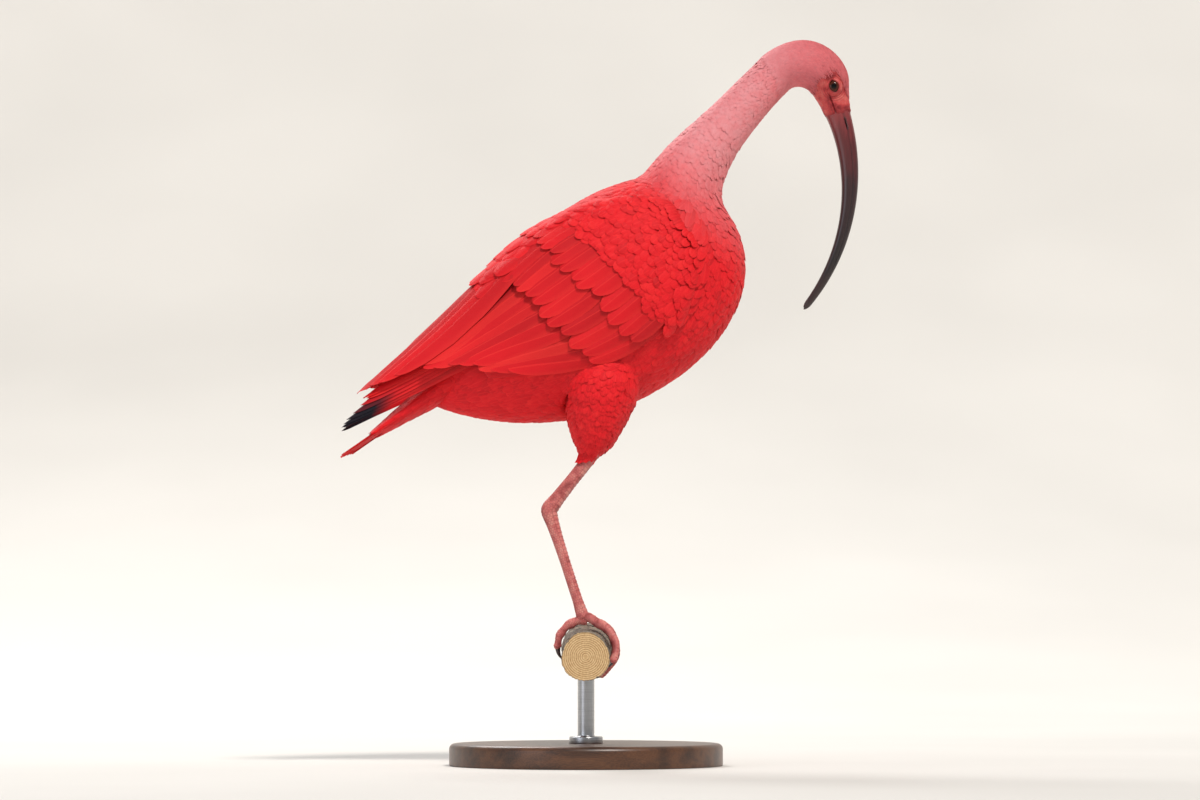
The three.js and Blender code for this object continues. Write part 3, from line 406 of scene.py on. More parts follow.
def add(tree, kind, inputs=None, **settings):
    """One node: settings are its own, inputs are values or other nodes' outputs for its sockets."""
    made = tree.nodes.new("ShaderNode" + kind)
    for key, value in settings.items():
        setattr(made, key, value)
    for key, value in (inputs or {}).items():
        if isinstance(value, bpy.types.NodeSocket):
            tree.links.new(value, made.inputs[key])
        else:
            made.inputs[key].default_value = value
    return made


def new_material(name, finish):
    """A material with one Principled shader, its fixed numbers set on the shader's own sockets."""
    made = bpy.data.materials.new(name)
    made.use_nodes = True
    tree = made.node_tree
    tree.nodes.clear()
    shader = add(tree, "BsdfPrincipled", finish)
    add(tree, "OutputMaterial", {"Surface": shader.outputs["BSDF"]})
    return made, tree, shader


def ramp(tree, value, stops):
    """A colour ramp on a number, from (place, hex colour) stops."""
    made = add(tree, "ValToRGB", {"Fac": value})
    line = made.color_ramp
    while len(line.elements) < len(stops):
        line.elements.new(0.5)
    for element, (place, shade) in zip(line.elements, stops):
        element.position = place
        element.color = colour(shade)
    return made.outputs["Color"]


def mixed(tree, factor, first, second, how="MIX"):
    """Two colours mixed by a factor; a colour is a hex value or another node's output."""
    sockets = {"Factor": factor}
    for key, value in ((6, first), (7, second)):
        sockets[key] = colour(value) if isinstance(value, str) else value
    return add(tree, "Mix", sockets, data_type="RGBA", blend_type=how).outputs[2]


def number(tree, name):
    """A number that the mesh carries at each point."""
    return add(tree, "Attribute", attribute_name=name).outputs["Fac"]


def place_in(tree, scale):
    """Object coordinates in cells of a size in millimetres, as a vector for a texture."""
    where = add(tree, "TexCoord").outputs["Object"]
    cells = [1 / (MM * s) for s in (scale if isinstance(scale, tuple) else (scale,) * 3)]
    return add(tree, "Mapping", {"Vector": where, "Scale": cells}).outputs["Vector"]


def noise(tree, size, detail, roughness=0.5, kind="Fac"):
    """Soft noise whose coarsest patches have a size in millimetres."""
    return add(tree, "TexNoise", {"Vector": place_in(tree, size), "Scale": 1.0, "Detail": detail,
                                  "Roughness": roughness}).outputs[kind]


def ranged(tree, value, start, end, low=0.0, high=1.0):
    """A number moved from the range start to end on to the range low to high, and held there."""
    return add(tree, "MapRange", {"Value": value, "From Min": start, "From Max": end, "To Min": low,
                                  "To Max": high}).outputs[0]


def worked(tree, how, *values):
    """A number worked out from others; MULTIPLY_ADD is the first by the second, and the third."""
    return add(tree, "Math", dict(enumerate(values)), operation=how).outputs[0]


def dress(tree, shader, base, height=None, depth=0.0, strength=1.0):
    """The shader's colour, and a bump from a height in 0 to 1 with the relief's depth in mm."""
    tree.links.new(base, shader.inputs["Base Color"])
    if height:
        made = add(tree, "Bump", {"Height": height, "Distance": depth * MM, "Strength": strength})
        tree.links.new(made.outputs["Normal"], shader.inputs["Normal"])


def grained_material(name, finish, size, detail, stops, depth=0.0, strength=0.0):
    """A plain material: one noise of a real size runs through a few colours, and is the relief."""
    made, tree, shader = new_material(name, finish)
    grain = noise(tree, size, detail)
    dress(tree, shader, ramp(tree, grain, stops), grain if depth else None, depth, strength)
    return made


# %% [markdown]
# ## Feather keratin
# A feather's vane is made of barbs, fine parallel strands that slant out from the shaft about
# 0.4 mm apart. Here they are drawn about twice as coarse, or no picture would show them, and painted
# shade runs in lines along them. The red is in the keratin, paler at a worn edge, with painted shade
# at a feather's root, where those behind cover it. The neck has a painted pink sheen.

# %% Feather material
NECK_SHEEN_PINK, SHEEN_RED, BARB_PAINTED_SHADE, INKY_BLUE = "#E2959A", "#FF5A50", "#B48C8C", "#10131F"
BARB_SLANT = 1.3


def feather_material(name, deep, full, worn, sheen, relief=0.35, step=0.9):
    """Keratin with barbs, step mm apart: colour by feather, by place on the vane, by dark tips, with
    painted shade at the root and along the barbs, and a painted pink sheen on the neck."""
    made, tree, shader = new_material(name, {
        "Roughness": 0.66, "IOR": 1.54, "Specular IOR Level": 0.25, "Sheen Weight": sheen,
        "Sheen Roughness": 0.5, "Sheen Tint": colour(SHEEN_RED),
    })
    base = ramp(tree, number(tree, "tone"), [(0.0, deep), (0.55, full), (1.0, worn)])
    # Painted shade at the root, where the feathers behind cover it: darker as reach falls below 0.75.
    base = mixed(tree, ranged(tree, number(tree, "reach"), 0.15, 0.75, 0.35, 0.0), base, deep, "MULTIPLY")
    base = mixed(tree, ranged(tree, number(tree, "edge"), 0.55, 1.0, 0.0, 0.3), base, worn)
    vane = add(tree, "SeparateXYZ", {"Vector": add(tree, "UVMap", uv_map="Vane").outputs["UV"]})
    across = worked(tree, "ABSOLUTE", vane.outputs["X"])
    slant = worked(tree, "MULTIPLY_ADD", across, -BARB_SLANT, vane.outputs["Y"])
    strand = worked(tree, "MULTIPLY_ADD", noise(tree, 7.0, 1.0), 0.03, slant)
    wave = worked(tree, "SINE", worked(tree, "MULTIPLY", strand, 10 * TAU / step))
    height = ranged(tree, wave, -1.0, 1.0)
    base = mixed(tree, ranged(tree, across, 0.02, 0.05, 0.35, 0.0), base, worn)
    # Painted sheen: the neck's pale pink, by the mark pale, a little mottled.
    mottle = ranged(tree, noise(tree, 4.0, 3.0), 0.35, 0.65, 0.87, 1.06)
    base = mixed(tree, worked(tree, "MULTIPLY", number(tree, "pale"), mottle), base, NECK_SHEEN_PINK)
    # Painted shade in lines along the barbs, darker with the relief's height.
    base = mixed(tree, worked(tree, "MULTIPLY", height, 1.3 * relief), base, BARB_PAINTED_SHADE, "MULTIPLY")
    dress(tree, shader, mixed(tree, number(tree, "dark"), base, INKY_BLUE), height, 0.25, relief)
    return made


body_feather = feather_material("scarlet_contour_feather", "#B00612", "#E60F1E", "#F62A2A",
                                0.14, 0.22, 0.7)
neck_feather = feather_material("pink_neck_feather", "#B81A26", "#DC1523", "#EE3334", 0.2, 0.12, 0.6)
head_nap = feather_material("dusky_head_nap", "#9C202B", "#C22C38", "#D45054", 0.25, 0.05)
flight_feather = feather_material("scarlet_flight_feather", "#A40612", "#EA1220", "#FA3A32", 0.08)

# %% [markdown]
# ## One feather, many times
# A feather is a small closed solid: an upper face with a ridge along the shaft, narrow at the root,
# full past the middle, round at the tip. Its faces are the same for each feather of a tract, and its
# width is one formula.

# %% Vanes
def slope_of(surface, a, b):
    """Millimetres of surface for one unit of a and for one radian of b, and the outward normal."""
    along = surface(a + 0.5, b) - surface(a - 0.5, b)
    across = (surface(a, b + 0.02) - surface(a, b - 0.02)) / 0.04
    normal = unit(np.cross(along, across))
    stretch = np.maximum(np.linalg.norm(along, axis=-1), 0.25)
    return stretch, np.maximum(np.linalg.norm(across, axis=-1), 1.5), normal


def vane_faces(rows, cols, backed):
    """Faces of one closed vane: its upper grid and either a second grid below or a flat back."""
    top = grid_faces(rows, cols, False)
    row = np.arange(rows - 1)
    if not backed:
        left, right = row * cols, row * cols + cols - 1
        back = np.stack([left, left + cols, right + cols, right], -1)
        middle = np.arange(1, cols - 1)
        root = np.stack([np.zeros_like(middle), middle + 1, middle], -1)
        tip = np.stack([np.zeros_like(middle), middle, middle + 1], -1) + (rows - 1) * cols
        quads = np.concatenate([top[:, ::-1], back[:, ::-1]])
        return quads, np.concatenate([root[:, ::-1], tip[:, ::-1]])
    count = rows * cols
    border = np.concatenate([np.arange(cols - 1), row * cols + cols - 1,
                             (rows - 1) * cols + np.arange(cols - 1, 0, -1),
                             np.arange(rows - 1, 0, -1) * cols])
    after = np.roll(border, -1)
    rim = np.stack([after, border, border + count, after + count], -1)
    quads = np.concatenate([top, top[:, ::-1] + count, rim])
    return quads, np.zeros((0, 3), np.int64)


def vane_width(t, root, tip, full_at=0.6):
    """Half width as a share: from the root out to 1 at full_at, then an arc down to the tip."""
    grow = lerp(root, 1.0, np.sin(np.clip(t / full_at, 0, 1) * math.pi / 2))
    fall = np.sqrt(np.clip(1 - ((t - full_at) / (1 - full_at)) ** 2 * (1 - tip**2), 0, 1))
    return np.where(t < full_at, grow, fall)


# %% [markdown]
# A feather's middle line runs over the surface that it grows from, so it follows every curve, and it
# climbs from inside the skin to lie over the feathers behind it. All feathers of a tract are worked
# out at once, as arrays of feather by row by column.

# %% Feather maker
def lay_feathers(name, surface, path_a, path_b, half, rise, material, slot, *, columns, camber, t,
                 marks, bake, seed, patch=0.003, side=1, turn=0.0, tilt=0.0, thick=0.0, ridge=0.0,
                 ragged=0.0, fray=0.0, replaces=()):
    """Feathers over a surface. path_a, path_b (feather, row) are the shaft's places, half the half
    widths in mm and rise the shaft's height. A column c in -1..1 lies half * c to the side, drops by
    camber * c^2 * half, and is tilted so that one edge lies over the next feather. fray is by how
    many millimetres the last rows are torn back, every second column most, as loose barbs are."""
    count, rows = path_a.shape
    columns = np.array(columns)
    cols = len(columns)
    turn = np.atleast_2d(turn)[..., None]
    stretch, round_mm, _ = slope_of(surface, path_a, path_b)
    rng = np.random.default_rng(seed)
    nicks = 1 - ragged * rng.random((count, rows, cols)) * (np.abs(columns) > 0.9)
    reach = half[..., None] * columns * nicks
    teeth = np.where(np.arange(cols) % 2, 1.0, 0.3)
    torn = fray * teeth * rng.random((count, 1, cols)) * smooth_step(0.4, 1.0, t)[None, :, None]
    a = path_a[..., None] - (reach * np.sin(turn) + torn) / stretch[..., None]
    b = path_b[..., None] + reach * np.cos(turn) / round_mm[..., None]
    out = rise[..., None] - camber * half[..., None] * columns**2 - tilt * columns
    out = out + ridge * (np.abs(columns) < 0.05)
    normal = slope_of(surface, a, b)[2]
    layers = [surface(a, b) + out[..., None] * normal]
    if thick:
        layers.append(layers[0] - thick * lerp(1.0, 0.5, t)[None, :, None, None] * normal)
    points = np.concatenate([layer.reshape(count, -1, 3) for layer in layers], 1)
    each = points.shape[1]
    steps = (np.arange(count) * each)[:, None, None]
    faces = [(part + steps).reshape(-1, part.shape[1])
             for part in vane_faces(rows, cols, bool(thick)) if len(part)]

    def at_points(values):
        values = np.asarray(values, float)
        values = values.reshape(values.shape + (1,) * (3 - values.ndim))
        values = np.broadcast_to(values, (count, rows, cols)).reshape(count, -1)
        return np.concatenate([values] * len(layers), 1).ravel()

    marks = {"edge": np.abs(columns)[None, None], "reach": t[None], **marks}
    length = np.linalg.norm(np.diff(surface(path_a, path_b), axis=1), axis=-1).sum(1)
    vane = np.stack([at_points(reach / 10), at_points(length[:, None] * t / 10)], -1)
    spot = np.stack([at_points(columns[None, None] * 0.5), at_points(t[None] - 0.5)], -1) * patch
    make_piece(name, points.reshape(-1, 3) * [1, side, 1], faces, material, slot,
               {key: at_points(values) for key, values in marks.items()},
               {"OFBake": np.repeat(bake, each, axis=0) + spot, "Vane": vane}, 60, replaces)


# %% [markdown]
# ## Rows of small feathers
# A tract is sown in rows, like slates on a roof: each row is set between the feathers of the last.
# Then sizes, turns and shades are drawn at random about their middle values.

# %% Rows and coats
FRINGE = (-1, -0.74, -0.5, -0.26, 0, 0.26, 0.5, 0.74, 1)
CAMBER, FEATHER_MIDDLE_TONE = 0.13, 0.52


def rooted_rows(surface, start, stop, step, across, edges, seed, jitter=0.3):
    """Roots in staggered rows over a surface: (place along, angle). A row holds as many roots as
    its own length allows, and each is moved a little at random. edges gives a row's two ends."""
    rng = np.random.default_rng(seed)
    found = []
    for n, place in enumerate(np.arange(start, stop, step)):
        low, high = edges(place) if callable(edges) else edges
        line = surface(np.full(80, place), np.linspace(low, high, 80))
        length = np.linalg.norm(np.diff(line, axis=0), axis=1).sum()
        many = max(int(length / across), 3)
        share = (np.arange(many) + 0.5 * (n % 2) + 0.25) / many
        angle = lerp(low, high, share) + (rng.random(many) - 0.5) * jitter * (high - low) / many
        found.append([place + (rng.random(many) - 0.5) * jitter * 2 * step, angle])
    return np.concatenate(found, 1)


def coat(name, surface, a, b, sizes, cell, material, slot, *, seed, sink, fray, rows=6, pale=0.0,
         spread=0.09, lean=7.0, side=1, push=None, columns=FRINGE):
    """Small feathers of a tract, one at each root: sizes are length, width and lift in mm, cell is
    the root's place on the map. A shaft climbs by 1 - (1 - t)^1.7, so that its tip lies over the
    feathers rooted behind it. push moves the places that lie inside another form."""
    rng = np.random.default_rng(seed)
    count = len(a)
    length, width, lift = (np.broadcast_to(size, count) for size in sizes)
    length = length * rng.uniform(0.86, 1.14, count)
    half = 0.5 * width * rng.uniform(0.88, 1.1, count)
    lift = lift * rng.uniform(0.8, 1.2, count)
    turn = rng.normal(0, lean * DEG, count)[:, None]
    stretch, round_mm, _ = slope_of(surface, a, b)
    t = 1 - (1 - np.linspace(0, 1, rows)) ** 1.6
    path_a = a[:, None] + length[:, None] * t * np.cos(turn) / stretch[:, None]
    path_b = b[:, None] + length[:, None] * t * np.sin(turn) / np.maximum(round_mm, 2)[:, None]
    sink = np.broadcast_to(sink, count)[:, None]
    rise = -sink + (lift[:, None] + sink) * (1 - (1 - t) ** 1.7)
    tone = np.clip(rng.normal(FEATHER_MIDDLE_TONE, spread, count), 0, 1)
    face = (lambda x, y: push(surface(x, y))) if push else surface
    lay_feathers(name, face, path_a, path_b, half[:, None] * vane_width(t, 0.45, 0.28), rise,
                 material, slot, columns=columns, camber=CAMBER, t=t, seed=seed, side=side,
                 turn=turn, fray=fray, marks={"tone": tone, "pale": pale, "dark": 0.0},
                 bake=np.clip(0.01 + 0.98 * np.stack(cell, -1), 0.005, 0.995))


# %% [markdown]
# ## Where one form enters another
# The thighs grow out of the trunk. A place inside one form is moved out to its face, with a soft
# maximum that leaves a fillet, so that feathers run over the join.

# %% Joins
def trunk_depth(points):
    """1 on the trunk's face, less inside it: the superellipse's own measure."""
    along, rise, half, tall = in_body(points)
    outside = np.where((along > BREAST_END - 1) | (along < RUMP_END + 1), 1e3, 0)
    sum_of_powers = np.abs(points[..., 1] / half) ** SECTION_ROUND + np.abs(rise / tall) ** SECTION_ROUND
    return np.maximum(sum_of_powers ** (1 / SECTION_ROUND), outside), along, rise


def clear_of_trunk(points, fillet=6.0):
    """Points inside the trunk moved out to its face; near it, lifted by (r^k + 1)^(1/k)."""
    ratio, along, rise = trunk_depth(points)
    ratio = np.clip(ratio, 0.05, 3)
    grown = (ratio**fillet + 1) ** (1 / fillet) / ratio
    return body_point(along, points[..., 1] * grown, rump_lift(along) + rise * grown)


def clear_of_thighs(points, fillet=8.0):
    """Points inside a thigh moved out from its middle line, lifted by (r^k + 1)^(1/k) near it."""
    side = np.where(points[..., 1:2] < 0, -1.0, 1.0) * [0, 1, 0] + [1, 0, 1]
    near = points * side
    line, radius = thigh_line(np.clip((near - THIGH_TOP) @ THIGH_WAY / THIGH_LENGTH, 0, 1))
    away = (near - line) / radius[..., None]
    ratio = np.clip(np.linalg.norm(away, axis=-1, keepdims=True), 0.2, 4)
    grown = (ratio**fillet + 1) ** (1 / fillet) / ratio
    return (line + away * radius[..., None] * grown) * side


def near_line(points, line, radii):
    """The distance from each point to the nearest of a line's points, less the radius there."""
    gap = np.linalg.norm(points[:, None] - line[None], axis=-1) - radii[None]
    return gap.min(1)


# %% [markdown]
# ## The lie of the plumage
# Feathers stream from the neck over back, breast and belly to the tail. So neck and trunk get one
# set of coordinates for them: lines that run down the neck, pass over to the trunk where the two
# forms meet, and come together again at the tail. On the trunk a line's direction from the body's
# middle is cos^2 of the neck's, sin^2 of the tail's, and a sine of its own side direction between
# them, and the distance is found by halving a gap 26 times. A moving average rounds off the crease.

# %% Plumage lines
PLUMAGE_LENGTH, PLUMAGE_ROWS, PLUMAGE_LINES = 390.0, 520, 480
NECK_START, CREASE_ROUND = 100.0, 37
CORE, TAIL_AIM = body_point(6.0, 0.0, 2.0), body_point(-116.0, 0.0, 9.0)
NECK_SAMPLES = np.linspace(-NECK_LENGTH, HEAD_END, 90)
NECK_LINE = neck_point(NECK_SAMPLES, 0.0, 0.0)


def out_to_trunk(way):
    """The trunk's face in a direction from its core."""
    near, far = np.zeros(way.shape[:-1]), np.full(way.shape[:-1], 260.0)
    for _ in range(26):
        middle = (near + far) / 2
        inside = trunk_depth(CORE + middle[..., None] * way)[0] < 1
        near, far = np.where(inside, middle, near), np.where(inside, far, middle)
    return CORE + near[..., None] * way


def neck_depth(points):
    """1 on the neck's face, less inside it, by its section at the nearest place of its middle line."""
    gap = np.linalg.norm(points[:, None] - NECK_LINE[None], axis=-1)
    length = NECK_SAMPLES[gap.argmin(1)]
    x, z, heading = neck_line(length)
    rise = -(points[:, 0] - x) * np.sin(heading) + (points[:, 2] - z) * np.cos(heading)
    side, tall = neck_sizes(length, rise > 0)
    return np.hypot(points[:, 1] / side, rise / tall)


def evenly(line, count):
    """A line of points divided into equal steps."""
    arc = np.concatenate([[0], np.cumsum(np.linalg.norm(np.diff(line, axis=0), axis=1))])
    even = np.linspace(0, arc[-1], count)
    return np.stack([np.interp(even, arc, line[:, axis]) for axis in range(3)], -1)


def plumage_lines():
    """A table of points: lines from the neck to the tail, each divided evenly by its own length."""
    leaving = NECK_LINE[np.abs(trunk_depth(NECK_LINE)[0] - 1).argmin()]
    to_neck, to_tail = unit(leaving - CORE), unit(TAIL_AIM - CORE)
    upward = unit(np.cross(np.cross(to_neck, to_tail), to_tail - to_neck))
    upward *= np.sign(upward[2])
    u = np.linspace(0.0, 1.0, 700)[:, None, None]
    side = np.linspace(-math.pi, math.pi, PLUMAGE_LINES + 1)
    outward = (np.cos(side)[:, None] * np.array([0.0, 1.0, 0.0]) + np.sin(side)[:, None] * upward)[None]
    way = np.cos(u * math.pi / 2) ** 2 * to_neck + np.sin(u * math.pi / 2) ** 2 * to_tail
    on_trunk = out_to_trunk(unit(way + np.sin(u * math.pi) * outward))
    length = np.linspace(HEAD_END - NECK_START, -NECK_LENGTH - 8, 160)
    on_neck = neck_face(length[:, None], side[None, :])
    window = np.hanning(CREASE_ROUND + 2)[1:-1]
    window /= window.sum()
    table = np.empty((PLUMAGE_ROWS + 1, PLUMAGE_LINES + 1, 3))
    for n in range(PLUMAGE_LINES + 1):
        enters = np.argmax(trunk_depth(on_neck[:, n])[0] < 1)
        leaves = np.argmax(neck_depth(on_trunk[:300, n]) > 1)
        line = evenly(np.concatenate([on_neck[:enters, n], on_trunk[leaves:, n]]), 420)
        padded = np.pad(line, ((CREASE_ROUND // 2, CREASE_ROUND // 2), (0, 0)), "reflect",
                        reflect_type="odd")
        soft = np.stack([np.convolve(padded[:, axis], window, "valid") for axis in range(3)], -1)
        table[:, n] = evenly(soft, PLUMAGE_ROWS + 1)
    return table


PLUMAGE = plumage_lines()


def plumage(down, side):
    """Neck and trunk by how far down a plumage line, of 390, and by the side that the line takes:
    0 is the bird's left, a quarter turn the back. Straight mixes of the four nearest table points."""
    down, side = np.broadcast_arrays(np.asarray(down, float), np.asarray(side, float))
    x = np.clip(down / PLUMAGE_LENGTH, 0, 1) * PLUMAGE_ROWS
    y = ((side + math.pi) / TAU % 1) * PLUMAGE_LINES
    i = np.minimum(x.astype(int), PLUMAGE_ROWS - 1)
    j = np.minimum(y.astype(int), PLUMAGE_LINES - 1)
    fx, fy = (x - i)[..., None], (y - j)[..., None]
    low = lerp(PLUMAGE[i, j], PLUMAGE[i, j + 1], fy)
    high = lerp(PLUMAGE[i + 1, j], PLUMAGE[i + 1, j + 1], fy)
    return lerp(low, high, fx)


print("plumage lines:", PLUMAGE.shape[:2], "lengths in mm",
      np.round(np.linalg.norm(np.diff(PLUMAGE[:, ::120], axis=0), axis=-1).sum(0)).tolist())

# %% [markdown]
# ## The thighs
# A thigh is a tube too: full at the top, narrow at the hem, where it turns back into the shin's way.

# %% Legs' lines
THIGH_TOP = np.array([16.0, 27.0, 296.0])
THIGH_END = np.array([4.0, 23.0, 222.0])
ANKLE = np.array([-27.0, 24.0, 183.0])
THIGH_RADII = 8 + 17 * np.array([0.55, 0.85, 1, 0.98, 0.84, 0.62, 0.34, 0])
THIGH_BOW, HEM_BEND, HEM_FROM = -2.0, 58, 0.8
THIGH_LENGTH = float(np.linalg.norm(THIGH_END - THIGH_TOP))
THIGH_WAY = unit(THIGH_END - THIGH_TOP)


def thigh_line(share):
    """The thigh's middle line, bowed back a little and turned to the shin's way, and its radius."""
    bow = THIGH_BOW * np.sin(np.clip(share, 0, 1) * math.pi)
    bow = bow - HEM_BEND * np.maximum(share - HEM_FROM, 0) ** 2
    line = THIGH_TOP + (THIGH_END - THIGH_TOP) * np.asarray(share)[..., None]
    line = line + np.stack([bow, 0 * bow, 0 * bow], -1)
    return line, np.interp(share, np.linspace(0, 1, 8), THIGH_RADII)


def thigh_face(down, angle):
    """The thigh's face by the way down from its top, and the angle round it from its outer side."""
    line, radius = thigh_line(down / THIGH_LENGTH)
    outer = unit(np.array([0, 1, 0]) - THIGH_WAY * THIGH_WAY[1])
    front = np.cross(outer, THIGH_WAY)
    ring = np.cos(angle)[..., None] * outer + np.sin(angle)[..., None] * front
    return line + np.asarray(radius)[..., None] * ring


print("thigh:", round(THIGH_LENGTH), "mm long")

# %% [markdown]
# ## One skin
# Under the feathers lies one closed skin, a few millimetres inside the solids. The forms are grids of
# their own, and a voxel remesh melts them into one surface, which a smoothing then relaxes at the
# joins, as stretched skin would. It shows only between feathers, so it carries the same markings, the
# neck's painted pink sheen, and a little painted shade.

# %% Skin
COAT_DEPTH, NECK_COAT, HEAD_COAT, UNDER_FACE, SKIN_VOXEL = 2.4, 1.2, 0.4, 2.4, 1.8
PLATE_ROWS, PLATE_COLS, PLATE_INNER = 40, 30, -4.0
TAIL_ROOT, TAIL_TIP, TAIL_DROOP = -98.0, -198.0, 1 * DEG
WASH_FROM, WASH_TO, WASH_MOST, CROWN_RED = -16, 58, 0.9, 0.6
NECK_FOOT = neck_point(-110.0, 0.0, 0.0)
NECK_WAY = unit(neck_point(-10.0, 0.0, 0.0) - NECK_FOOT)


def neck_sheen_wash(place):
    """How far the neck's painted pink sheen has taken over, by the way along the neck; the crown is
    redder.
    """
    redder = smooth_step(118, 176, place[..., 0]) * smooth_step(440, 470, place[..., 2])
    pink = smooth_step(WASH_FROM, WASH_TO, (place - NECK_FOOT) @ NECK_WAY)
    return WASH_MOST * pink * (1 - CROWN_RED * redder)


def under_plumage(down, side):
    """Neck and trunk drawn in by the coat's depth, less on the neck."""
    depth = lerp(NECK_COAT, COAT_DEPTH, smooth_step(30, 110, down))
    return plumage(down, side) - depth[..., None] * slope_of(plumage, down + 0 * side, side + 0 * down)[2]


def shell_plate():
    """The wing's shell as a closed plate, 1.5 mm inside its outer face."""
    back = (WING_SPAN * np.linspace(0.014, 0.62, PLATE_ROWS))[:, None]
    low, high = wing_edges(back / WING_SPAN)
    angle = lerp(low, high, np.linspace(0.03, 0.97, PLATE_COLS)[None, :])
    along = WING_FRONT - back
    both = [section_point(along, angle, *wing_sizes(along), out).reshape(-1, 3)
            for out in (shell_out(along, angle) - 1.5, PLATE_INNER)]
    return np.concatenate(both), vane_faces(PLATE_ROWS, PLATE_COLS, True)


def tail_root(back, angle):
    """The root of the tail: a flat tube along the tail that thins as it goes back."""
    t = np.clip(back / 92, 0, 1)
    half, thick = lerp(21, 19, t), lerp(14.5, 1.6, t**0.8)
    along = -84 - back
    centre_rise = RUMP_LIFT - rump_lift(along) - (TAIL_ROOT - along) * math.tan(TAIL_DROOP)
    return body_point(along, half * np.cos(angle),
                      rump_lift(along) + centre_rise + thick * np.sin(angle))


def grid_of(surface, start, stop, rows, cols):
    """A surface sampled in rings, from start to stop."""
    return surface(np.linspace(start, stop, rows)[:, None], circle(cols))


def under_thigh(down, angle):
    """The thigh's face drawn in by the coat's depth."""
    axis, _ = thigh_line(down / THIGH_LENGTH)
    return lerp(axis, thigh_face(down, angle), 0.88)


def under_neck(length, angle):
    """The neck's face drawn in by the coat's depth, and deeper in front, where the bare face lies."""
    depth = lerp(NECK_COAT, HEAD_COAT, smooth_step(-30, 20, length))
    return neck_face(length, angle, -depth - UNDER_FACE * smooth_step(-12, -6, length - HEAD_BEND))


# %% [markdown]
# The melted surface is read back as arrays and made into the skin, with no grid of its own left.

# %% Body skin
def read_from(items, key, kind, width=1):
    """A mesh's own numbers as an array: width of them for each point, corner or face."""
    values = np.zeros(len(items) * width, kind)
    items.foreach_get(key, values)
    return values


def body_skin(material):
    """All the forms in one mesh, melted by a voxel remesh and smoothed."""
    tubes = ((under_plumage, 4, PLUMAGE_LENGTH - 2, 190, 90),
             (under_neck, -NECK_LENGTH + 20, HEAD_END - 1.5, 90, 44), (tail_root, 0, 44, 14, 30))
    left = [closed_tube(grid_of(under_thigh, 2, THIGH_LENGTH - 0.5, 24, 30)), shell_plate()]
    right = [(points * [1, -1, 1], faces) for points, faces in left]
    points, faces = joined([closed_tube(grid_of(*tube)) for tube in tubes] + left + right)
    rough = make_piece("skin_forms", points, faces, material, "plumage")
    melt = rough.modifiers.new("melt", "REMESH")
    melt.mode, melt.voxel_size = "VOXEL", SKIN_VOXEL * MM
    relax = rough.modifiers.new("relax", "SMOOTH")
    relax.factor, relax.iterations = 0.5, 5
    melted = bpy.data.meshes.new_from_object(rough.evaluated_get(bpy.context.evaluated_depsgraph_get()))
    place = read_from(melted.vertices, "co", np.float32, 3).reshape(-1, 3).astype(float) / MM
    sides = read_from(melted.polygons, "loop_total", np.int32)
    corners = read_from(melted.loops, "vertex_index", np.int32)
    starts = np.cumsum(sides) - sides
    faces = [corners[starts[sides == k][:, None] + np.arange(k)] for k in (4, 3) if (sides == k).any()]
    bpy.data.objects.remove(rough)
    bpy.data.meshes.remove(melted)
    one = np.ones(len(place))
    unrolled = [np.arctan2(place[:, 2] - BODY_Z, place[:, 1]) / TAU + 0.5, (place[:, 0] + 200) / 420]
    # The skin's reach of 0.6 gives it a little painted root shade; pale is the neck's painted sheen.
    make_piece("body_skin", place, faces, material, "plumage",
               {"tone": 0.4 * one, "pale": neck_sheen_wash(place), "dark": 0 * one, "edge": 0 * one,
                "reach": 0.6 * one}, {"Vane": np.stack(unrolled, -1) * 20},
               replaces=("torso", "neck_lower", "neck_upper", "head", "thigh_left", "thigh_right"))


body_skin(body_feather)

# %% [markdown]
# ## Contour feathers
# Rows of small feathers run down the lines from the neck to the rump, each row set between the
# feathers of the last. They are left out where the wing or a thigh lies over the trunk, and at the
# wing's front edge they climb a little over it, as a bird tucks its wrist under the breast's coat.
# Breast feathers are short and round; those of belly, back and rump are longer and looser.

# %% Trunk coat
TRUNK_FEATHERS = (12.5, 16, 23), (6.0, 8.6, 11.5), (0.7, 1.1, 1.5)
TRUNK_FEATHERS_AT = 0, 95, 350
WING_COVERS, TUCK = (0.03, 0.6), 0.12
CLIMB_SHARE, CLIMB_FALL, CLIMB_MOST, CLIMB_LONGER = 0.6, 60, 1.5, 1.6
# Each part: its first and last place down the lines, its sides, the rows' step, material, slot, seed.
TRUNK_PARTS = (
    ("coat_back", 92, 372, 0.0, math.pi, 3.3, body_feather, "plumage", 101),
    ("coat_breast", 92, 222, -math.pi, 0.0, 3.3, body_feather, "plumage", 111),
    ("coat_belly", 222, 372, -math.pi, 0.0, 3.3, body_feather, "plumage", 121),
    ("coat_neck_lower", 14, 92, *FULL_TURN, 2.8, neck_feather, "neck_plumage", 206),
)


def on_wing(place):
    """A place's way along the body, share of the wing, angle round the body, and the edges there."""
    along, rise, half, tall = in_body(place)
    share = (WING_FRONT - along) / WING_SPAN
    turn = np.arctan2(rise / tall, np.abs(place[:, 1]) / half)
    return along, share, turn, *wing_edges(np.clip(share, 0.02, 1))


def bare_of_wing(place):
    """True where the wing does not lie over a place: outside its edges, drawn in by the tuck."""
    _, share, turn, low, high = on_wing(place)
    first, last = WING_COVERS
    return ~((share > first) & (share < last) & (turn > low + TUCK) & (turn < high - TUCK))


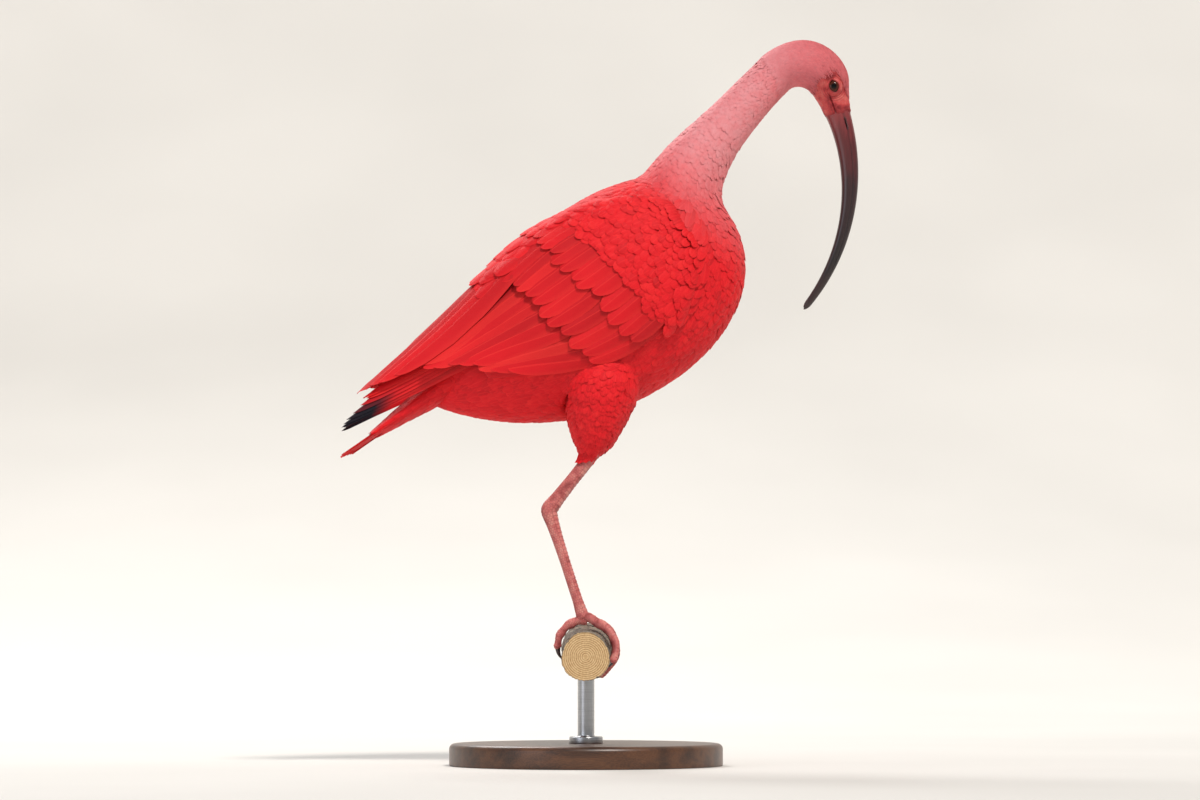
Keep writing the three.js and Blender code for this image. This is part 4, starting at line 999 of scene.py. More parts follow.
def over_wing(place):
    """How far a feather has to climb to lie over the wing's front edge: a share of the shell's
    height, less where the place already stands off the trunk, and 0 off the wing."""
    along, share, turn, low, high = on_wing(place)
    inside = (share > 0) & (turn > low) & (turn < high)
    climb = CLIMB_SHARE * shell_out(along, turn) - CLIMB_FALL * np.maximum(trunk_depth(place)[0] - 1, 0)
    return inside * np.maximum(climb, 0) * smooth_step(0.34, 0.2, share) * smooth_step(0.6, 0.15, turn)


def bare_of_trunk(place):
    """True where neither the wing nor a thigh covers the trunk."""
    line, radii = thigh_line(np.linspace(0, 0.8, 24))
    mirrored = place * [1, 0, 1] + np.abs(place) * [0, 1, 0]
    return bare_of_wing(place) & (near_line(mirrored, line, radii - 14) > 0)


def trunk_coat(name, first, last, low, high, step, material, slot, seed):
    """One part of the coat: a stretch of the plumage lines, on some of the sides. Length, width and
    lift run between their sizes at the neck, the shoulders and the rump."""
    roots = rooted_rows(plumage, first, last, step, 1.15 * step, (low, high), seed)
    down, side = roots[:, bare_of_trunk(plumage(*roots))]
    place = plumage(down, side)
    length, width, lift = (np.interp(down, TRUNK_FEATHERS_AT, sizes) for sizes in TRUNK_FEATHERS)
    tip = plumage(down + length / slope_of(plumage, down, side)[0], side)
    climb = (over_wing(place) < CLIMB_MOST) * over_wing(tip)
    coat(name, plumage, down, side, (length + CLIMB_LONGER * climb, width, lift + climb),
         ((side - low) / (high - low), (down - first) / (last - first)), material, slot,
         seed=seed + 1, sink=1.8, fray=2.0, pale=neck_sheen_wash(place),
         push=clear_of_thighs if low < 0 and last > 150 else None)


for part in TRUNK_PARTS:
    trunk_coat(*part)

# %% [markdown]
# ## Neck and head coat
# The neck's feathers are small and lie close, and on the head they shrink to a nap, seven
# millimetres long on the nape and less than three at the face. The face is bare skin from the bill to
# behind the eye, and at the chin. Where the nap's rows crowd together in the bend, some are dropped.

# %% Neck and head coat
GOLDEN, NAP_SPACING = 0.618034, 1.15


def bare_edge(angle):
    """How far ahead the head's feathers reach, by the angle round it: least beside the eye."""
    rise = np.sin(angle)
    return -5.0 + 21.0 * smooth_step(0.45, 0.99, rise) + 8.0 * smooth_step(0.3, 0.9, -rise)


def neck_coat(first, last):
    """The upper neck's coat, down to where the plumage lines begin."""
    back, angle = rooted_rows(nape, first, last, 1.5, 1.65, FULL_TURN, 201)
    down = smooth_step(56, 178, back)
    coat("coat_neck_upper", nape, back, angle, (lerp(7.0, 17, down), lerp(2.2, 9.0, down),
                                                lerp(0.35, 1.1, down)),
         ((angle + math.pi) / TAU, (back - first) / (last - first)), neck_feather, "neck_plumage",
         seed=202, sink=1.2, fray=1.0, pale=neck_sheen_wash(nape(back, angle)), columns=FRINGE[::2])


def head_coat():
    """Crown, cheeks and throat: a short nap that thins out at the edge of the bare face."""
    roots = rooted_rows(nape, 1.0, 64, 0.62, 0.7, FULL_TURN, 211, 0.8)
    behind = bare_edge(roots[1]) - (FACE_LENGTH - roots[0])
    keep = behind > np.random.default_rng(212).normal(0, 1.1, len(behind))
    kept_share = np.clip(slope_of(nape, *roots)[0] / NAP_SPACING, 0.14, 1)
    keep &= np.arange(len(behind)) * GOLDEN % 1 < kept_share
    back, angle = roots[:, keep]
    size = smooth_step(0, 55, back) * smooth_step(-6, 16, behind[keep])
    coat("coat_head", nape, back, angle, (lerp(2.6, 7.0, size), lerp(0.55, 1.9, size),
                                          lerp(0.15, 0.5, size)),
         ((angle + math.pi) / TAU, back / 70), head_nap, "neck_plumage", seed=213, rows=4, sink=0.5,
         fray=0.4, pale=neck_sheen_wash(nape(back, angle)), columns=(-1, 0, 1), lean=11.0, spread=0.2)


head_coat()
neck_coat(58, 115)

# %% [markdown]
# The thighs wear trousers of longer feathers, which hang a little over the bare leg.

# %% Thigh coat
def thigh_coat(side_name, side, seed):
    """Feathers down one thigh, left out inside the trunk and under the wing."""
    roots = rooted_rows(thigh_face, 8, THIGH_LENGTH - 3, 2.9, 3.5, FULL_TURN, seed)
    place = thigh_face(*roots)
    down, angle = roots[:, (trunk_depth(place)[0] > 1.0) & bare_of_wing(place)]
    share = down / THIGH_LENGTH
    coat(f"coat_thigh_{side_name}", thigh_face, down, angle,
         (lerp(14, 9.5, share), 6.4, lerp(1.5, -1.8, smooth_step(0.72, 1, share))),
         ((angle + math.pi) / TAU, share), body_feather, "plumage", seed=seed + 1, sink=2.0,
         fray=1.8, side=side, push=lambda points: clear_of_trunk(points, 12.0))


for (side_name, side), seed in zip(SIDES, (301, 311)):
    thigh_coat(side_name, side, seed)

# %% [markdown]
# ## The wing's feathers
# A folded wing shows its feathers in tiers: small lesser coverts at the wrist, then median and
# greater coverts, the secondaries, the long tertials that cloak them, scapulars along the shoulder,
# and the primaries, stacked under all of these, whose outer tips are inky blue. A tier runs between
# its lowest and its highest feather, and each feather's lower edge lies over the next one down.

# %% Wing tiers
TIERS = {
    "primaries": dict(
        count=9, low=((-40, 6), (-189, 27)), high=((-52, 36), (-146, 54)), half=8.0,
        lifts=(-0.6, 0.7), stack=-0.95, tilt=0.5, tip=0.06, full_at=0.5),
    "secondaries": dict(
        count=11, low=((2, -29), (-66, -11)), high=((-22, 44), (-126, 40)), half=9.0,
        lifts=(1.5, 2.6), stack=0.0, tilt=1.1, tip=0.12, full_at=0.6),
    "tertials": dict(
        count=4, low=((14, 50), (-134, 36)), high=((-14, 74), (-158, 54)), half=12.0,
        lifts=(3.2, 3.9), stack=0.0, tilt=0.9, tip=0.1, full_at=0.5),
    "greater_coverts": dict(
        count=13, low=((34, -30), (-14, -27)), high=((20, 62), (-34, 56)), half=8.4,
        lifts=(1.5, 3.0), stack=0.0, tilt=0.7, tip=0.14, full_at=0.58),
    "median_coverts": dict(
        count=13, low=((60, -24), (19, -27)), high=((44, 56), (2, 56)), half=8.0,
        lifts=(1.4, 3.0), stack=0.0, tilt=0.7, tip=0.14, full_at=0.58),
}
VANE_COLUMNS = (-1, -0.6, -0.04, 0, 0.04, 0.6, 1)
VANE_SHARE = 1 - (1 - np.linspace(0, 1, 18)) ** 1.5
ROOT_SINK, VANE_THICK, SHAFT_RIDGE = 1.2, 0.35, 0.28


def lay_vanes(name, surface, back, angle, half, rise, *, camber, tilt, marks, seed, side, replaces):
    """Large feathers, each with a thick shaft, a square of the map to itself and a worn edge."""
    count = len(back)
    across = math.ceil(math.sqrt(count))
    cell = np.stack([np.arange(count) % across, np.arange(count) // across], -1)
    lay_feathers(name, surface, back, angle, half, rise, flight_feather, "plumage", side=side,
                 columns=VANE_COLUMNS, t=VANE_SHARE, camber=camber, tilt=tilt, thick=VANE_THICK,
                 ridge=SHAFT_RIDGE, ragged=0.05, marks={"pale": 0.0, **marks}, seed=seed,
                 bake=(cell + 0.5) / across, patch=0.9 / across, replaces=replaces)


def wing_tier(tier, spec, side_name, side, seed, replaces):
    """A tier's feathers from its lowest to its highest, with each shaft a line between two places.
    Low and high hold where these two start and end: millimetres along the body, degrees round it."""
    rng = np.random.default_rng(seed)
    count = spec["count"]
    up = (np.arange(count) / (count - 1))[:, None]
    start, end = ([lerp(low, high, up) for low, high in zip(*places)]
                  for places in zip(spec["low"], spec["high"]))
    along = lerp(start[0], end[0] + rng.uniform(-4, 4, (count, 1)), VANE_SHARE)
    angle = lerp(start[1], end[1] + rng.uniform(-1.3, 1.3, (count, 1)), VANE_SHARE)
    level = lerp(*spec["lifts"], smooth_step(0.25, 1, VANE_SHARE))
    stacked = level + spec["stack"] * (count - 1) * (1 - up)
    half = spec["half"] * rng.uniform(0.94, 1.06, (count, 1))
    inky = smooth_step(0.62, 0.3, up) * (tier == "primaries")
    lay_vanes(f"{tier}_{side_name}", wing_face, WING_FRONT - along, angle * DEG,
              half * vane_width(VANE_SHARE, 0.55, spec["tip"], spec["full_at"]),
              lerp(-ROOT_SINK, stacked, smooth_step(0.0, 0.3, VANE_SHARE)), camber=0.1,
              tilt=spec["tilt"], side=side, seed=seed + 1, replaces=replaces,
              marks={"tone": np.clip(rng.normal(0.5, 0.12, count), 0, 1),
                     "dark": smooth_step(0.70, 0.84, VANE_SHARE) * inky})


# %% [markdown]
# Over the tiers' roots lie small feathers in rows: the lesser coverts down from the wrist, and the
# scapulars back from the shoulder.

# %% Small wing feathers
def covert_edges(back):
    """The wing's edges by the way back from its front."""
    return wing_edges(np.clip(back / WING_SPAN, 0.012, 1))


def scapulars(side_name, side, seed):
    """The shoulder's feathers: longer and longer towards the tail, over the tops of the wing's tiers."""
    def edges(back):
        return lerp(58, 50, smooth_step(40, 130, back)) * DEG, covert_edges(back)[1] - 0.03

    back, angle = rooted_rows(wing_face, 34, 119, 5.2, 6.4, edges, seed)
    size = smooth_step(30, 120, back)
    coat(f"scapulars_{side_name}", wing_face, back, angle,
         (lerp(19, 36, size), lerp(10.0, 15.0, size), lerp(2.4, 4.4, size)),
         ((angle - 0.7) / 0.9, (back - 30) / 104), body_feather, "plumage", rows=9, seed=seed + 1,
         sink=lerp(1.8, 0.0, size), fray=1.4, side=side, pale=neck_sheen_wash(wing_face(back, angle)), lean=4.0)


def lesser_coverts(side_name, side, seed):
    """Small feathers over the wrist and the front of the wing, down to the median coverts."""
    roots = rooted_rows(wing_face, 2, 68, 3.4, 4.1, covert_edges, seed)
    reach = np.interp(roots[1] / DEG, (-24, 56), (46, 62))
    back, angle = roots[:, (roots[0] < reach) | (roots[1] > 58 * DEG)]
    size = smooth_step(0, 45, back)
    coat(f"lesser_coverts_{side_name}", wing_face, back, angle,
         (lerp(12, 17, size), lerp(7.0, 10.5, size), lerp(1.2, 2.7, size)),
         ((angle + 1) / 2.6, back / 70), body_feather, "plumage", seed=seed + 1, fray=1.8, side=side,
         sink=lerp(3.2, 1.8, smooth_step(0, 20, back)), pale=neck_sheen_wash(wing_face(back, angle)))


for (side_name, side), seed in zip(SIDES, (401, 501)):
    for n, (tier, spec) in enumerate(TIERS.items()):
        stands_for = (f"wing_{side_name}",) if tier == "secondaries" else ()
        wing_tier(tier, spec, side_name, side, seed + 10 * n, stands_for)
    lesser_coverts(side_name, side, seed + 90)
    scapulars(side_name, side, seed + 95)

# %% [markdown]
# ## The tail
# Twelve feathers in a short, square fan: the middle pair on top, the others under them one by one to
# each side. Coverts above and below hide their roots.

# %% Tail
TAIL_HALF_SPREAD, TAIL_ROOT_SPREAD, TAIL_VANE_HALF, TAIL_PAIRS = 19.0, 7.0, 8.5, 6


def tail_top(back, out):
    """The tail's plane: millimetres back from the root, and tenths of a metre to the right."""
    along = TAIL_ROOT - back
    return body_point(along, -100 * out, RUMP_LIFT - back * math.tan(TAIL_DROOP))


def tail_half(side_name, side, seed, replaces):
    """Six feathers of one side, the inner edge of each tucked under the one before."""
    rng = np.random.default_rng(seed)
    outer = ((np.arange(TAIL_PAIRS) + 0.35) / TAIL_PAIRS)[:, None]
    tip = TAIL_ROOT - (TAIL_TIP + 8 * outer**2 + rng.uniform(0, 3, (TAIL_PAIRS, 1)))
    spread = -lerp(TAIL_ROOT_SPREAD, TAIL_HALF_SPREAD, VANE_SHARE) * outer / 100
    half = TAIL_VANE_HALF * vane_width(VANE_SHARE, 0.6, 0.2) + 0 * outer
    lay_vanes(f"tail_feathers_{side_name}", tail_top, lerp(-8, tip, VANE_SHARE), spread, half,
              1.0 - 2.6 * outer**1.5 + 0 * VANE_SHARE, camber=0.06, tilt=0.7, side=side,
              seed=seed + 1, replaces=replaces,
              marks={"tone": np.clip(rng.normal(0.42, 0.1, TAIL_PAIRS), 0, 1), "dark": 0.0})


def tail_coverts():
    """Long loose feathers round the root of the tail."""
    back, angle = rooted_rows(tail_root, -12, 50, 3.6, 4.2, FULL_TURN, 621)
    far = (back + 12) / 62
    coat("tail_coverts", tail_root, back, angle, (lerp(24, 35, far), 9.0, lerp(1.8, 0.7, far)),
         ((angle + math.pi) / TAU, (back + 14) / 66), body_feather, "plumage", seed=622, rows=8,
         sink=lerp(2.0, 1.2, far), fray=3.0, lean=4.0)


for (side_name, side), seed, stands_for in zip(SIDES, (601, 611), (("tail",), ())):
    tail_half(side_name, side, seed, stands_for)
tail_coverts()

# %% [markdown]
# ## Bare skin
# The face, lids and legs are bare. Skin is soft keratin over blood: a warm pink, with painted shade in
# the folds and the seams between scales, and a dull gloss. On the legs it is set with horny scales.

# %% Bare skin materials
def skin_material(name, deep, full, light, grain, seam_shade, roughness):
    """Bare skin: slow blotches of colour, painted shade in the seams between pebbles and where the mark
    fold lies, and pebbles of a real size as relief.
    """
    made, tree, shader = new_material(name, {
        "Roughness": roughness, "IOR": 1.42, "Subsurface Weight": 0.1, "Subsurface Scale": 0.002,
        "Specular IOR Level": 0.4,
    })
    base = ramp(tree, noise(tree, 7.0, 4.0), [(0.3, deep), (0.5, full), (0.72, light)])
    cells = add(tree, "TexVoronoi", {"Vector": place_in(tree, grain), "Scale": 1.0})
    dome = ranged(tree, cells.outputs["Distance"], 0.75, 0.1)
    # Painted shade in the seams between the pebbles.
    base = mixed(tree, worked(tree, "MULTIPLY_ADD", dome, -seam_shade, seam_shade), base, deep)
    # Painted shade where the mark fold lies.
    dress(tree, shader, mixed(tree, number(tree, "fold"), base, deep), dome, 0.16, 0.45)
    return made


face_skin_finish = skin_material("bare_face_skin", "#7A1A20", "#C84848", "#DD7068", 0.75, 0.22, 0.5)
leg_skin_finish = skin_material("scaled_leg_skin", "#8A3A3A", "#C86E6A", "#DC958A", 0.6, 0.12, 0.48)

# %% [markdown]
# ## The face
# The bare mask is a grid round the head's own form, fine enough to carry its details as shape: the
# lids that rise over the eyeball and open as a lens, rings of folds round them, and the line of the
# mouth that runs back from the bill. The eyeball sits in the opening, deep in the head.

# %% Face
EYE_RADIUS, EYE_AHEAD, EYE_RISE, EYE_SIDE = 6.2, 3.0, 3.2, 8.3
LID_LIFT, LID_HALF_LENGTH, LID_HALF_HEIGHT, LID_RADIUS, SOCKET_DEPTH = 0.8, 4.8, 3.9, 0.5, 0.9
MOUTH_FROM, MOUTH_RISE, MOUTH_DEEP, MOUTH_HALF = 5.0, -1.7, 1.3, 0.5
FACE_BACK, FACE_OVER_BILL, FOLD_STEP, FOLD_RISE, GRAIN_RISE = -13.0, 1.7, 1.5, 0.17, 0.1


def head_point(ahead, side, rise):
    """A place on the head: ahead of the end of its bend, out to the side, and up."""
    return neck_point(HEAD_BEND + ahead, side, rise)


def lid_half_height(p):
    """Half the height of the opening between the lids, at p ahead of the eye's middle."""
    return LID_HALF_HEIGHT * np.maximum(1 - np.abs(p / LID_HALF_LENGTH) ** 2.2, 0) ** 0.7


def ball_out(radius, p, q):
    """How far out to the side a ball about the eye's middle reaches, at p ahead and q above."""
    return EYE_SIDE + np.sqrt(np.maximum(radius**2 - p**2 - q**2, 0))


def face_grid():
    """The head's section, with the side moved for lids, folds and the mouth, and its fold mark of painted
    shade. In front it swells to a soft rim that lies over the bill's base and tucks under at a wavy edge."""
    angle = circle(260)
    wave = lattice_noise(angle / TAU, 0.5 + 0 * angle, (11, 3), 72)
    edge = FACE_LENGTH + FACE_OVER_BILL + 0.7 * wave + 1.6 * smooth_step(0.6, 1, np.sin(angle))
    ahead = lerp(FACE_BACK, edge, np.linspace(0, 1, 170)[:, None])
    rim = -0.55 + 0.7 * smooth_step(FACE_LENGTH - 9, FACE_LENGTH - 2, ahead)
    rim = rim - 1.1 * smooth_step(edge - 2.6, edge, ahead) ** 1.5
    rim = rim - 0.5 * smooth_step(FACE_BACK + 4, FACE_BACK, ahead)
    half, tall = neck_sizes(HEAD_BEND + ahead, np.sin(angle) > 0)
    side, rise = (half + rim) * np.cos(angle), (tall + rim) * np.sin(angle)
    p, q = ahead - EYE_AHEAD, rise - EYE_RISE
    ring = np.hypot(p, q * 1.1)
    sign, size = np.sign(side), np.abs(side)
    at_side = smooth_step(2.0, 4.0, size)
    folds = FOLD_RISE * np.sin(ring * TAU / FOLD_STEP + 0.8 * np.sin(3 * np.arctan2(q, p)))
    folds = folds * smooth_step(5.2, 6.5, ring) * smooth_step(13, 8, ring)
    rough = lattice_noise(angle / TAU + 0 * ahead, (ahead - FACE_BACK) / 40, (70, 44), 71)
    size = size + (folds + GRAIN_RISE * rough) * at_side
    lid = np.maximum(ball_out(EYE_RADIUS + LID_LIFT, p, q), size * 0.94)
    size = lerp(size, lid, smooth_step(8.2, 5.6, ring) * at_side)
    opening = smooth_step(-0.25, 0.35, lid_half_height(p) - np.abs(q)) * (np.abs(p) < LID_HALF_LENGTH)
    opening = opening * at_side
    size = lerp(size, ball_out(EYE_RADIUS - SOCKET_DEPTH, p, q), opening)
    groove = np.exp(-((rise - MOUTH_RISE) / MOUTH_HALF) ** 2)
    groove = groove * smooth_step(MOUTH_FROM, MOUTH_FROM + 5, ahead)
    size = size - MOUTH_DEEP * groove * at_side
    # Painted shade: the mouth's groove, the eye's opening, the folds' troughs, the rim's tuck at the
    # bill.
    fold = 0.8 * groove + 0.6 * opening + 0.4 * smooth_step(0, -0.12, folds)
    fold = np.clip(fold + 0.75 * smooth_step(FACE_LENGTH - 4, edge, ahead), 0, 1)
    return head_point(ahead, sign * size, rise), fold


rings, fold = face_grid()
tube_piece("face_skin", rings, face_skin_finish, "bare_skin", {"fold": capped(fold, [0, 0])})


# %% [markdown]
# A thin soft rim, a ring of round section, lines the opening between the lids.

# %% Lids
LID_OUT, LID_FOLD = 0.35, 0.55


def ring_tube(line, radius, around=10):
    """A closed ring: a round section carried along a closed line."""
    ahead = unit(np.roll(line, -1, 0) - np.roll(line, 1, 0))
    side = np.broadcast_to([0.0, 1.0, 0.0], line.shape)
    side = unit(side - ahead * np.einsum("ij,ij->i", side, ahead)[:, None])
    other = np.cross(ahead, side)
    turn = circle(around)[..., None]
    rings = line[:, None] + radius * (np.cos(turn) * side[:, None] + np.sin(turn) * other[:, None])
    count = len(line)
    faces = grid_faces(count + 1, around, True) % (count * around)
    return rings.reshape(-1, 3), [faces]


for side_name, side in SIDES:
    turn = circle(72)[0]
    p = LID_HALF_LENGTH * np.cos(turn)
    q = np.sign(np.sin(turn)) * lid_half_height(p)
    out = ball_out(EYE_RADIUS + LID_OUT, p, q)
    points, faces = ring_tube(head_point(EYE_AHEAD + p, side * out, EYE_RISE + q), LID_RADIUS)
    make_piece(f"lid_{side_name}", points, faces, face_skin_finish, "bare_skin",
               {"fold": np.full(len(points), LID_FOLD)})

# %% [markdown]
# ## The eyes
# An ibis has a dark brown iris round a black pupil, under a clear wet cornea. The ball is one grid
# from pole to pole with its pole facing out, a little raised over the iris, and the colours are rings
# by the angle from that pole.

# %% Eyes
def eye_material():
    """A wet eye: black pupil, brown iris with rays, dark rim, under a clear coat."""
    made, tree, shader = new_material("wet_eyeball", {
        "Roughness": 0.25, "IOR": 1.36, "Specular IOR Level": 0.1, "Coat Weight": 0.7,
        "Coat Roughness": 0.03, "Coat IOR": 1.34,
    })
    rings = ramp(tree, number(tree, "polar"), [
        (0.0, "#020202"), (0.27, "#050303"), (0.30, "#3C170E"), (0.52, "#5E2814"), (0.66, "#2A100A"),
        (0.74, "#0A0505")])
    dress(tree, shader, mixed(tree, noise(tree, 0.5, 2.0), rings, mixed(tree, 0.5, rings, "#0A0505")))
    return made


def eye_grid(side, count=48):
    """The ball in rings by the angle from its outer pole, and that angle at each point."""
    polar, turn = np.linspace(0.01, math.pi - 0.01, count)[:, None], circle(count)
    radius = EYE_RADIUS + 0.2 * smooth_step(0.85, 0.35, polar)
    out = EYE_SIDE + radius * np.cos(polar) + 0 * turn
    rings = head_point(EYE_AHEAD + radius * np.sin(polar) * np.cos(turn), side * out,
                       EYE_RISE + radius * np.sin(polar) * np.sin(turn))
    return rings, capped(polar + 0 * turn, [0.0, math.pi])


eyeball = eye_material()
for side_name, side in SIDES:
    rings, polar = eye_grid(side)
    make_piece(f"eyeball_{side_name}", *closed_tube(rings), eyeball, "eye", {"polar": polar},
               replaces=(f"eye_{side_name}",))

# %% [markdown]
# ## The bill
# The bill bends down along an arc of a circle, and thins quickly at first and then slowly. Each half
# is a half ellipse closed by the line of the mouth. A groove runs along each side of the upper half,
# and the nostril is a slit at its start.

# %% Bill
BILL_LENGTH, BILL_TURN = 150.0, -60 * DEG
BILL_DEPTH, BILL_TIP_DEPTH, BILL_WIDTH, BILL_TIP_WIDTH = 18.0, 4.6, 14.0, 4.4
MOUTH_LINE, MOUTH_GAP, TONGUE_RISE = -0.06, 0.06, 1.3
UNDER_RIM, TIP_FROM, TIP_ROUND = 0.012, 0.96, 0.04
GROOVE_DEEP, NOSTRIL_DEEP, WRINKLE_RISE, WRINKLE_STEP = 0.55, 1.3, 0.12, 2.3


def bill_material():
    """Horn: dark crimson at the base to black past the middle, with fine growth lines along it, and
    painted shade in the groove and the nostril by the mark fold.
    """
    made, tree, shader = new_material("bill_horn", {
        "Roughness": 0.36, "IOR": 1.54, "Coat Weight": 0.25, "Coat Roughness": 0.25,
    })
    grain = noise(tree, (3.0, 3.0, 14.0), 4.0)
    base = ramp(tree, worked(tree, "MULTIPLY_ADD", grain, 0.24, number(tree, "share")), [
        (0.04, "#96383A"), (0.26, "#5A181B"), (0.5, "#2E1012"), (0.85, "#160C0D"), (1.0, "#2A1413")])
    # Painted shade in the groove and the nostril, by the mark fold.
    dress(tree, shader, mixed(tree, number(tree, "fold"), base, "#0C0607"), grain, 0.2, 0.4)
    return made


def bill_half(top, reach, rows=220, cols=72):
    """One half of the bill, and its marks: how far along each point is, and painted shade by how deep in
    the groove or the nostril it lies.
    """
    t = 1 - (1 - np.linspace(0, 1, rows)) ** 1.25
    share = (-UNDER_RIM + (reach + UNDER_RIM) * t)[:, None]
    angle = circle(cols)
    above = np.sin(angle) > 0
    thin = np.clip(share, 0, 1) ** 0.72
    past = ((share / reach - TIP_FROM) / TIP_ROUND) ** 2 * (share > TIP_FROM * reach)
    close = np.clip(1 - past, 0.004, 1) ** 0.5
    depth = lerp(BILL_DEPTH, BILL_TIP_DEPTH, thin)
    half = lerp(BILL_WIDTH, BILL_TIP_WIDTH, thin) / 2 * close
    mouth = MOUTH_LINE * depth
    tall = (depth / 2 - mouth if top else depth / 2 + mouth) * close
    curve = np.maximum(np.sin(angle), 0)
    rise = tall * signed_power(curve, 0.92) + MOUTH_GAP
    rise = rise - (0 if top else TONGUE_RISE) * np.maximum(-np.sin(angle), 0) ** 0.5 * close
    side = half * signed_power(np.cos(angle), 0.92)
    groove = np.exp(-((curve - 0.42) / 0.07) ** 2) * above
    deep = GROOVE_DEEP * groove * smooth_step(0.95, 0.6, share) * top
    slit = np.exp(-((curve - 0.45) / 0.055) ** 2) * above
    slit = slit * smooth_step(0.028, 0.04, share) * smooth_step(0.095, 0.08, share) * (NOSTRIL_DEEP * top)
    ripple = np.sin(share * BILL_LENGTH * TAU / WRINKLE_STEP + 1.5 * np.cos(angle))
    wrinkle = WRINKLE_RISE * ripple * smooth_step(0.1, 0.0, share) * (np.sin(angle) > 0.1)
    inward = deep + slit - wrinkle
    side = side * (1 - inward / np.maximum(half, 1))
    rise = rise - inward * 0.3 * above
    heading = HEAD_HEADING + BILL_TURN * share
    radius = BILL_LENGTH / BILL_TURN
    start = neck_point(HEAD_END + 0.3, 0.0, 0.0)
    x = start[0] + radius * (np.sin(heading) - math.sin(HEAD_HEADING))
    z = start[2] - radius * (np.cos(heading) - math.cos(HEAD_HEADING))
    height = mouth + (rise if top else -rise)
    x, side, z, share = np.broadcast_arrays(x - height * np.sin(heading), side,
                                            z + height * np.cos(heading), share)
    # fold: painted shade in the groove and the nostril's slit.
    fold = np.clip(0.35 * deep / GROOVE_DEEP + slit, 0, 1) + 0 * rise
    return np.stack([x, side, z], -1), {"share": capped(share), "fold": capped(fold)}


horn = bill_material()
for name, top, reach in (("bill_upper", True, 1.0), ("bill_lower", False, 0.993)):
    rings, marks = bill_half(top, reach)
    tube_piece(f"{name}_horn", rings, horn, "bill_horn", marks, 50, (name,))

# %% [markdown]
# ## Legs and feet
# The bare leg is one tube from under the thigh's feathers over the ankle to the toes. In front it is
# covered by broad horny plates that overlap downwards, elsewhere by small pebbled scales. The perch's
# form comes first, because the toes wrap over it.

# %% Perch form
PERCH_Z, PERCH_RADIUS, PERCH_SPAN, PERCH_SWAY = 82.0, 17.0, 214.0, 3.0


def perch_radius(y, angle):
    """The branch's radius: it swells along its length, and is a little three-sided."""
    t = y / PERCH_SPAN
    along = 1 + 0.05 * np.sin(9 * t + 0.6) + 0.05 * t
    return PERCH_RADIUS * along * (1 + 0.025 * np.sin(3 * angle + 7 * t))


def perch_sway(y):
    """How far the branch's middle line rises and falls along its length."""
    return PERCH_SWAY * np.sin(2.6 * y / PERCH_SPAN)


# %% Legs
TOE_ROOT = np.array([-2.0, 25.0, 105.95])
LEG_AT = [-8, 0, 22, 39, 46, 50, 54, 60, 70, 90, 118, 126, 131]
LEG_RADII = [4.0, 4.2, 4.0, 4.5, 5.2, 5.35, 5.1, 4.4, 3.8, 3.35, 3.4, 4.0, 4.6]
SCUTE_STEP, SCUTE_RISE = 3.1, 0.28


def scales(x, y, size, rise):
    """Six-sided scales: 0 in the seams, rise inside. The nearest middle is looked for in two
    rectangular lattices, and the seam is half a scale off along any of three slanted ways."""
    tall = size * math.sqrt(3)
    offsets = [(((x / size + shift) % 1 - 0.5) * size, ((y / tall + shift) % 1 - 0.5) * tall)
               for shift in (0.0, 0.5)]
    nearer = np.hypot(*offsets[0]) < np.hypot(*offsets[1])
    dx, dy = (np.abs(np.where(nearer, offsets[0][k], offsets[1][k])) for k in (0, 1))
    reach = np.maximum(dx, dx / 2 + dy * math.sqrt(3) / 2)
    return rise * smooth_step(0, 0.3 * size, size / 2 - reach)


def plates(at, step, rise):
    """Overlapping plates: each climbs over its length and drops at its end, where a seam is."""
    t = (at / step) % 1
    return rise * (t**1.5 - 1.2 * np.exp(-(np.minimum(t, 1 - t) / 0.06) ** 2))


def section(line, side, up, wide, tall, angle):
    """Rings round a line: wide * cos(angle) to the side and tall * sin(angle) up from it."""
    wide, tall = (wide * np.cos(angle))[..., None], (tall * np.sin(angle))[..., None]
    return line[:, None] + wide * side[:, None] + tall * up[:, None]


